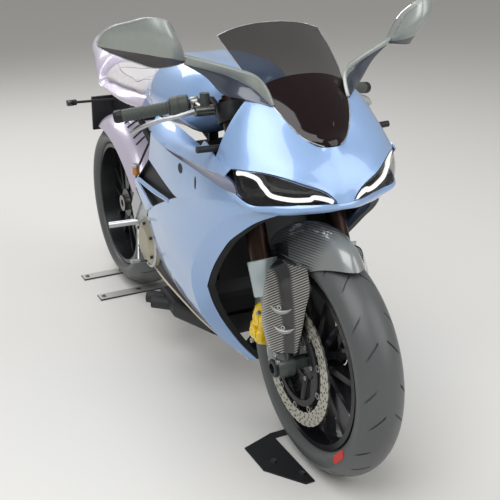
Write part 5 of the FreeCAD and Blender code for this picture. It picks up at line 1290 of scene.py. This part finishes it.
class SPORTBIKE_OT_duct_marks(bpy.types.Operator):
    """Builds the crescent louvres on the ducts, each over a dark slot, with its bolt"""
    bl_idname = "sport_bike.duct_marks"
    bl_label = "Duct louvres"

    def execute(self, context):
        node = "brake_ducts"
        bolts = []
        for side, name in SIDES:
            tree = skin_tree("brake_duct_" + name)
            run = Vector((-0.75, -side * 0.66, 0.0))
            across = Vector((0.66, -side * 0.75, 0.0))
            lips, slots = bmesh.new(), bmesh.new()
            for ahead, half, up, reach in ((4, 113, 462, 27), (20, 115, 414, 25)):
                middle = at(ahead, side * half, up) - run * 0.1
                curve, widths = [], []
                for k in range(17):
                    share = k / 8 - 1
                    start = middle + across * (share * reach * MM) + UP * ((-9 + 12 * share * share) * MM)
                    place, normal = land(tree, start, run)
                    curve.append(place + normal * 1.5 * MM)
                    widths.append((0.8 + 5.2 * (1 - share * share)) * MM)
                tube(lips, curve, widths, 8)
                inlay(slots, tree, rounded(middle + across * 4 * MM, across, UP, 15, 5), run, 0.5 * MM)
                bolts.append(land(tree, middle - across * 3 * MM + UP * 2 * MM, run))
            made("duct_lips_" + name, lips, node, "carbon", finish="lip_grey", sharp_deg=60)
            made("duct_slots_" + name, slots, node, "carbon", finish="gloss_black", thick=1 * MM,
                 inside=at(-60, side * 90, 440))
        screws("duct_bolts", screw_group(), bolts, node, "carbon", 5.5, 8, 0.5, "silver")
        return {"FINISHED"}


COLLAR = (  # height along the fork, radius and length of the front wing, in mm
    (176, 34.0, 0), (179, 35.5, 0), (215, 35.5, 1), (250, 36.0, 6), (262, 36.5, 13), (264, 35.0, 13),
    (264, 28.5, 0))
COLLAR_FOOT, COLLAR_BORE = 176, 28.5
AXLE_NUT = [(8.5, 142), (20, 142), (23, 139), (23, 130), (8.5, 130)]
CALIPER_TURNS = (  # degrees up from straight ahead, and the section's size there
    (132, 0.62), (134, 0.8), (141, 1.0), (151, 1.0), (153, 0.86), (161, 0.86), (163, 1.0), (173, 1.0),
    (179, 0.8), (181, 0.62))
CALIPER_SECTION = [  # radius from the axle and place out from the centre plane, in mm, round the C
    (118, 84), (118, 112), (126, 123), (160, 125), (174, 117), (178, 98), (178, 65), (172, 57), (126, 56),
    (118, 60), (118, 66), (166, 66), (166, 84)]
SLOT_INNER, SLOT_OUTER, SLOT_TOP, PAD_RADIUS = 66, 84, 166, 146


class SPORTBIKE_OT_fork(bpy.types.Operator):
    """Builds the pale fork collars, the axle's nuts and the calipers with their bolts"""
    bl_idname = "sport_bike.fork"
    bl_label = "Fork, axle and calipers"

    def execute(self, context):
        node = "front_calipers"
        caps, pistons = [], []
        for side, name in SIDES:
            foot = FRONT_HUB + Vector((0, side * FORK_OUT * MM, 0))
            out = Vector((0, side, 0))
            self.collar(foot, name)
            mesh = bmesh.new()
            spun(mesh, AXLE_NUT, FRONT_HUB, out, 24, True)
            made("axle_nut_" + name, mesh, "fork_legs", "silver", finish="dark_alloy", sharp_deg=25)
            self.caliper(side, name)
            for turn, radius, spots in ((147, 143, pistons), (166, 143, pistons), (136, 146, caps), (177, 146, caps)):
                spots.append((round_hub(FRONT_HUB, math.radians(turn), radius, side * 124), out))
            turn = math.radians(134)
            caps.append((round_hub(FRONT_HUB, turn, 176, side * 96), way(turn)))
            for height in (14, 34):
                caps.append((foot + STEER_UP * height * MM + out * 22 * MM + STEER_AHEAD * 24 * MM, out))
        group = screw_group()
        screws("caliper_pistons", group, pistons, node, "yellow", 16, 5, 0.7, "yellow")
        screws("caliper_bolts", group, caps, node, "yellow", 6, 7, 0.5, "silver")
        return {"FINISHED"}

    def collar(self, foot, name):
        """The ring at the foot of each fork tube, drawn out into a wing in front."""
        columns = []
        for k in range(36):
            turn = math.tau * k / 36
            lean = max(0.0, math.cos(turn)) ** 2
            out = STEER_AHEAD * math.cos(turn) + Vector((0, math.sin(turn), 0))
            column = [foot + STEER_UP * run * MM + out * (radius + wing * lean) * MM for run, radius, wing in COLLAR]
            columns.append(column + [foot + STEER_UP * COLLAR_FOOT * MM + out * COLLAR_BORE * MM, column[0]])
        mesh = bmesh.new()
        lay(mesh, columns, closed=True)
        made("fork_collar_" + name, mesh, "fork_tubes", "mirror_shell", finish="collar", sharp_deg=40)

    def caliper(self, side, name):
        """A curved block that straddles the disc, with slimmer ends and a waisted bridge."""
        columns = []
        for turn, size in CALIPER_TURNS:
            column = []
            for radius, out in CALIPER_SECTION:
                scale = size if out > SLOT_OUTER or out < SLOT_INNER else 1.0
                middle = SLOT_TOP if radius > SLOT_TOP else PAD_RADIUS
                face = SLOT_OUTER if out > SLOT_OUTER else SLOT_INNER
                column.append(round_hub(FRONT_HUB, math.radians(turn), middle + (radius - middle) * scale,
                                        side * (face + (out - face) * scale)))
            columns.append(column + column[:1])
        mesh = bmesh.new()
        close_ends(mesh, lay(mesh, columns))
        made("caliper_" + name, mesh, "front_calipers", "yellow", side < 0, sharp_deg=28, round_mm=1.2)


CLIP_UP = 622  # mm up the fork from the axle to the bars' clamps
BAR = ((-300, 150, 903), (-388, 350, 871))
CLIP_RING = [(28, -14), (37, -14), (38, -12), (38, 12), (37, 14), (28, 14)]
BAR_END = [(0, -1), (15, -1), (16, 1), (16, 16), (13, 21), (0, 21)]
GRIP = ([(11.5, 0), (19, 0), (19, 5), (15.2, 7)]
        + [point for k in range(18) for point in ((15.2, 9 + 6 * k), (15.8, 10 + 6 * k), (15.8, 13 + 6 * k),
                                                  (15.2, 14 + 6 * k))]
        + [(15.2, 116), (15, 119), (11.5, 119)])
SWITCHES = [(11.5, 0), (22, 0), (25, 3), (26, 22), (25, 23), (25, 25), (26, 26), (25, 44), (21, 47), (11.5, 47)]
PERCH = [(11.5, 0), (16, 0), (17, 2), (17, 18), (16, 20), (11.5, 20)]
LEVER = [(-264, 208, 888), (-270, 246, 880), (-296, 290, 868), (-324, 326, 850), (-342, 342, 836)]


class SPORTBIKE_OT_controls(bpy.types.Operator):
    """Builds the bars with their ribbed grips, switch housings, levers and the instrument glass"""
    bl_idname = "sport_bike.controls"
    bl_label = "Bars and controls"

    def execute(self, context):
        for side, name in SIDES:
            start, end = on_side(side, BAR)
            along = (end - start).normalized()
            first = side < 0
            clamp = FRONT_HUB + Vector((0, side * FORK_OUT * MM, 0)) + STEER_UP * CLIP_UP * MM
            root = at(-262, side * 186, 892)
            perch = end - along * 192 * MM
            mesh = bmesh.new()
            spun(mesh, CLIP_RING, clamp, STEER_UP, 36, True)
            tube(mesh, [clamp + Vector((-22 * MM, side * 20 * MM, 0)), start, start + along * 14 * MM], 13 * MM, 16)
            tube(mesh, [start, end], 11 * MM, 16)
            spun(mesh, BAR_END, end, along, 24)
            made("bar_" + name, mesh, "clip_ons", "black_metal", first)
            mesh = bmesh.new()
            spun(mesh, GRIP, end - along * 120 * MM, along, 28, True)
            made("grip_" + name, mesh, "grips", "rubber", first, finish="grip", sharp_deg=50)
            mesh = bmesh.new()
            spun(mesh, SWITCHES, end - along * 168 * MM, along, 28, True)
            tube(mesh, [root + Vector((-6, -side * 8, up)) * MM for up in (8, 38)], 12 * MM, 16)
            made("switchgear_" + name, mesh, "switchgear", "black_plastic", first, finish="grip", sharp_deg=40)
            mesh = bmesh.new()
            spun(mesh, PERCH, perch, along, 24, True)
            tube(mesh, [perch + along * 10 * MM, perch.lerp(root, 0.5) + along * 6 * MM, root], 9 * MM, 14)
            tube(mesh, [root - Vector((0, side * 26, 4)) * MM, root + Vector((0, side * 22, -3)) * MM], 13 * MM, 18)
            made("lever_clamp_" + name, mesh, "switchgear", "silver", finish="steel", sharp_deg=40)
            path = through(on_side(side, LEVER), 6)
            pipe("lever_" + name, path, [6 * MM] * 6 + [5.2 * MM] * (len(path) - 8) + [6.5 * MM] * 2, "levers",
                 "silver", 12, first)
        mesh = bmesh.new()
        slab(mesh, [at(-122, -58, 873.5), at(-122, 58, 873.5), at(-161, 58, 903.5), at(-161, -58, 903.5)],
             Vector((-0.6, 0, 0.8)) * -1.5 * MM)
        made("instrument_glass", mesh, "dashboard", "black_plastic", finish="gloss_black")
        return {"FINISHED"}


CLUTCH_RIM = [(70, 186), (78, 184), (80, 186.5), (72, 190.5)]
CUP = [(0, 0), (9, 0), (12, 4), (12, 26), (0, 26)]
CAP = [(0, 26), (13.5, 26), (13.5, 34), (11, 36), (0, 36)]
INDICATOR = [(0, -1), (12.5, -1), (12.5, 18), (10, 24), (0, 26)]
BAND_UPPER = [(-694, 186, 424), (-664, 168, 336), (-590, 138, 280), (-511, 110, 228), (-430, 76, 187),
              (-340, 44, 146)]
BAND_LOWER = [(-780, 180, 344), (-700, 166, 296), (-610, 140, 250), (-520, 110, 206), (-434, 76, 172),
              (-341, 42, 142)]


class SPORTBIKE_OT_rear_details(bpy.types.Operator):
    """Builds the clutch cover's rim, the fluid cup, the lower band, the hugger's slats and the rear lamps"""
    bl_idname = "sport_bike.rear_details"
    bl_label = "Rear details"

    def execute(self, context):
        out = Vector((0, -1, 0))
        hub = at(-752, 0, 392)
        mesh = bmesh.new()
        spun(mesh, CLUTCH_RIM, hub, out, 60, True)
        made("clutch_rim", mesh, "engine_covers", "bronze", finish="silver")
        spots = [(round_hub(hub, k * math.tau / 6 + 0.5, 62, -195), out) for k in range(6)]
        screws("clutch_bolts", screw_group(), spots, "engine_covers", "bronze", 5, 6, 0.5, "dark_alloy")
        self.fluid_cup()
        self.lower_band()
        self.slats()
        self.lamps()
        return {"FINISHED"}

    def fluid_cup(self):
        node, foot = "rear_reservoir", at(-930, -150, 556)
        mesh = bmesh.new()
        spun(mesh, CUP, foot, UP, 24)
        made("fluid_cup", mesh, node, "amber", True)
        mesh = bmesh.new()
        spun(mesh, CAP, foot, UP, 24)
        made("fluid_cap", mesh, node, "silver")
        mesh = bmesh.new()
        tube(mesh, [foot + Vector((0, 8, 24)) * MM, at(-930, -96, 664)], 3.5 * MM, 10)
        tube(mesh, through([foot, foot + Vector((4, 0, -26)) * MM, at(-905, -154, 510), at(-874, -154, 500)], 6),
             4 * MM, 10)
        made("fluid_hose", mesh, node, "black_plastic")

    def lower_band(self):
        """The dark band under each side panel's lower edge, with its pale line."""
        for side, name in SIDES:
            sheet("lower_band_" + name, [BAND_UPPER, BAND_LOWER], "belly_pan", "black_metal", sides=(side,),
                  thick=3 * MM, inside=at(-550, 0, 350))
            pipe("lower_line_" + name, through(on_side(side, BAND_LOWER), 6), 4 * MM, "belly_pan", "champagne", 8)

    def slats(self):
        """Five slanted bars across the hugger's crown."""
        tree = skin_tree("rear_hugger_skin")
        mesh = bmesh.new()
        for k in range(5):
            line = []
            for step in range(7):
                share = step / 6 - 0.5
                turn = math.radians(58 + 5.5 * k + 9 * share)
                start = round_hub(REAR_HUB, turn, 600, -20 + share * 70)
                place, normal = land(tree, start, -way(turn))
                line.append(place + normal * 0.5 * MM)
            tube(mesh, line, 3.2 * MM, 8)
        made("hugger_slats", mesh, "rear_hugger", "lilac", finish="dark_alloy", sharp_deg=60)

    def lamps(self):
        """The rear indicators and the blank plate."""
        mesh = bmesh.new()
        for side in BOTH:
            spun(mesh, INDICATOR, at(-1566, side * 172, 682), Vector((0, side, 0)), 20)
        made("rear_indicators", mesh, "plate_holder", "black_plastic", finish="smoked")
        mesh = bmesh.new()
        low, across, up = at(-1609.8, 0, 625), Vector((0, 1, 0)), Vector((0.122, 0, 0.9925))
        slab(mesh, [low + across * a * 90 * MM + up * b * 60 * MM for a, b in ((-1, -1), (1, -1), (1, 1), (-1, 1))],
             Vector((-1.5 * MM, 0, 0)))
        made("blank_plate", mesh, "plate_holder", "black_plastic", finish="lip_grey")


class SPORTBIKE_OT_stand_details(bpy.types.Operator):
    """Builds the pale tops and bolts of the stands and the blank red tag on the front tyre"""
    bl_idname = "sport_bike.stand_details"
    bl_label = "Stands and tag"

    def execute(self, context):
        rear = (REAR_HUB.x - FRONT_HUB.x) / MM
        mesh = bmesh.new()
        bolts = []
        for middle in (rear + 120, rear - 100):
            slab(mesh, [at(middle + edge, out, 5) for edge, out in ((-23, -213), (23, -213), (23, 216), (-23, 216))],
                 UP * 0.6 * MM)
            bolts += [(at(middle, out, 7), UP) for out in (-196, -60, 160)]
        made("stand_tops", mesh, "display_stand", "silver", finish="pale_steel")
        bolts += [(at(ahead, side * out, 6.5), UP) for side in BOTH for ahead, out in ((-40, 120), (40, 80))]
        screws("stand_bolts", screw_group(), bolts, "display_stand", "steel", 8, 5, 0.5, "steel")
        turn = math.radians(-44)
        along = Vector((-math.sin(turn), 0, math.cos(turn)))
        mesh = bmesh.new()
        inlay(mesh, skin_tree("front_tyre_tread"),
              rounded(round_hub(FRONT_HUB, turn, 247, -200), along, way(turn), 30, 10, 6.0), Vector((0, 1, 0)),
              0.8 * MM)
        made("tyre_tag", mesh, "front_tyre", "red_lens", finish="red_tag", thick=0.8 * MM, inside=FRONT_HUB)
        return {"FINISHED"}


# Finishes and stage

# The exhaust wears the dark cast finish as painted shade, standing for the shadow under the side panel where the pipe
# hardly shows.
FINISHES = {  # CAD nodes that wear another finish than their slot's
    "fork_tubes": "fork", "fork_legs": "fork_alloy", "exhaust": "engine", "display_stand": "gloss_black",
    "belly_pan": "black_metal"}
LIGHTS = (  # place in metres, size and power
    ("key", (2.3, -2.0, 4.7), 3.6, 158.0),
    ("fill", (3.6, 2.6, 3.2), 3.4, 80.0),
    ("back", (-3.4, -0.4, 4.0), 3.0, 110.0))
LIT = Vector((0.1, 0.0, 0.5))
AIR_STRENGTH = 0.48
FLOOR_REACH = 30.0


class SPORTBIKE_OT_finishes(bpy.types.Operator):
    """Gives every CAD piece the finish of the real one"""
    bl_idname = "sport_bike.finishes"
    bl_label = "Finish the CAD pieces"

    def execute(self, context):
        PAINT.update(build_materials(context))
        slots = {part["node"]: part["material_slot"] for part in frame["record"]["subparts"]}
        slots.update(FINISHES)
        for name, piece in frame["nodes"].items():
            for slot in piece.material_slots:
                slot.material = PAINT[slots[name]]
        return {"FINISHED"}


class SPORTBIKE_OT_stage(bpy.types.Operator):
    """Sets the pale studio floor, the soft lights and the camera of the photograph"""
    bl_idname = "sport_bike.stage"
    bl_label = "Set the stage"

    camera_place = (1705.6, -997.7, 1334.8)  # ahead of the front axle, out and up, in mm
    yaw, pitch, roll = (math.radians(angle) for angle in (154.738, -20.840, -1.3306))
    focal_share = 888.0 / 500.0  # focal length over the picture's width

    def execute(self, context):
        scene = context.scene
        colour = (*scene.sport_bike_colours.floor, 1.0)
        data = bpy.data.meshes.new("floor")
        data.from_pydata([(x * FLOOR_REACH, y * FLOOR_REACH, 0) for x, y in ((-1, -1), (1, -1), (1, 1), (-1, 1))],
                         [], [(0, 1, 2, 3)])
        data.materials.append(surface("Sealed studio floor", colour[:3], roughness=0.55)[0])
        new_object("floor", data)
        world = bpy.data.worlds.new("Studio air")
        world.use_nodes = True
        backdrop = world.node_tree.nodes["Background"]
        backdrop.inputs["Color"].default_value = colour
        backdrop.inputs["Strength"].default_value = AIR_STRENGTH
        scene.world = world
        for name, place, size, power in LIGHTS:
            lamp = bpy.data.lights.new(name, "AREA")
            lamp.size, lamp.energy = size, power
            holder = new_object(name, lamp)
            holder.location = place
            holder.rotation_euler = (LIT - holder.location).to_track_quat("-Z", "Y").to_euler()
        self.set_camera(scene)
        scene.view_settings.view_transform = "Standard"
        return {"FINISHED"}

    def set_camera(self, scene):
        """The camera that was fitted to both wheels' ellipses in the photograph."""
        lens = bpy.data.cameras.new("camera")
        lens.sensor_width = 36.0
        lens.lens = lens.sensor_width * self.focal_share
        camera = new_object("camera", lens)
        flat = math.cos(self.pitch)
        look = Vector((flat * math.cos(self.yaw), flat * math.sin(self.yaw), math.sin(self.pitch)))
        level = look.cross(UP).normalized()
        upright = level.cross(look)
        right = level * math.cos(self.roll) + upright * math.sin(self.roll)
        top = upright * math.cos(self.roll) - level * math.sin(self.roll)
        axes = Matrix((right, top, -look)).transposed().to_4x4()
        camera.matrix_world = Matrix.Translation(at(*self.camera_place)) @ axes
        scene.camera = camera


class SPORTBIKE_PT_panel(bpy.types.Panel):
    """Lists the sizes, colours and steps"""
    bl_label = "Sport bike"
    bl_idname = "SPORTBIKE_PT_panel"
    bl_space_type = "VIEW_3D"
    bl_region_type = "UI"
    bl_category = "Sport bike"

    def draw(self, context):
        layout = self.layout
        for group in (context.scene.sport_bike_colours, context.scene.sport_bike_sizes):
            for name in group.__annotations__:
                layout.prop(group, name)
        for step in STEPS:
            layout.operator(step.bl_idname)


STEPS = (
    SPORTBIKE_OT_finishes,
    SPORTBIKE_OT_upper_fairing,
    SPORTBIKE_OT_side_fairings,
    SPORTBIKE_OT_chin,
    SPORTBIKE_OT_headlamps,
    SPORTBIKE_OT_screen,
    SPORTBIKE_OT_mirrors,
    SPORTBIKE_OT_tank_and_tail,
    SPORTBIKE_OT_seat,
    SPORTBIKE_OT_guards,
    SPORTBIKE_OT_tyres,
    SPORTBIKE_OT_brakes,
    SPORTBIKE_OT_chain,
    SPORTBIKE_OT_panel_marks,
    SPORTBIKE_OT_duct_marks,
    SPORTBIKE_OT_fork,
    SPORTBIKE_OT_controls,
    SPORTBIKE_OT_rear_details,
    SPORTBIKE_OT_stand_details,
    SPORTBIKE_OT_stage,
)
CLASSES = (SportBikeColours, SportBikeSizes) + STEPS + (SPORTBIKE_PT_panel,)


def register():
    for item in CLASSES:
        bpy.utils.register_class(item)
    bpy.types.Scene.sport_bike_colours = PointerProperty(type=SportBikeColours)
    bpy.types.Scene.sport_bike_sizes = PointerProperty(type=SportBikeSizes)


def unregister():
    del bpy.types.Scene.sport_bike_sizes
    del bpy.types.Scene.sport_bike_colours
    for item in reversed(CLASSES):
        bpy.utils.unregister_class(item)


def main():
    register()
    for step in STEPS:
        group, name = step.bl_idname.split(".")
        getattr(getattr(bpy.ops, group), name)()


if __name__ == "__main__":
    main()
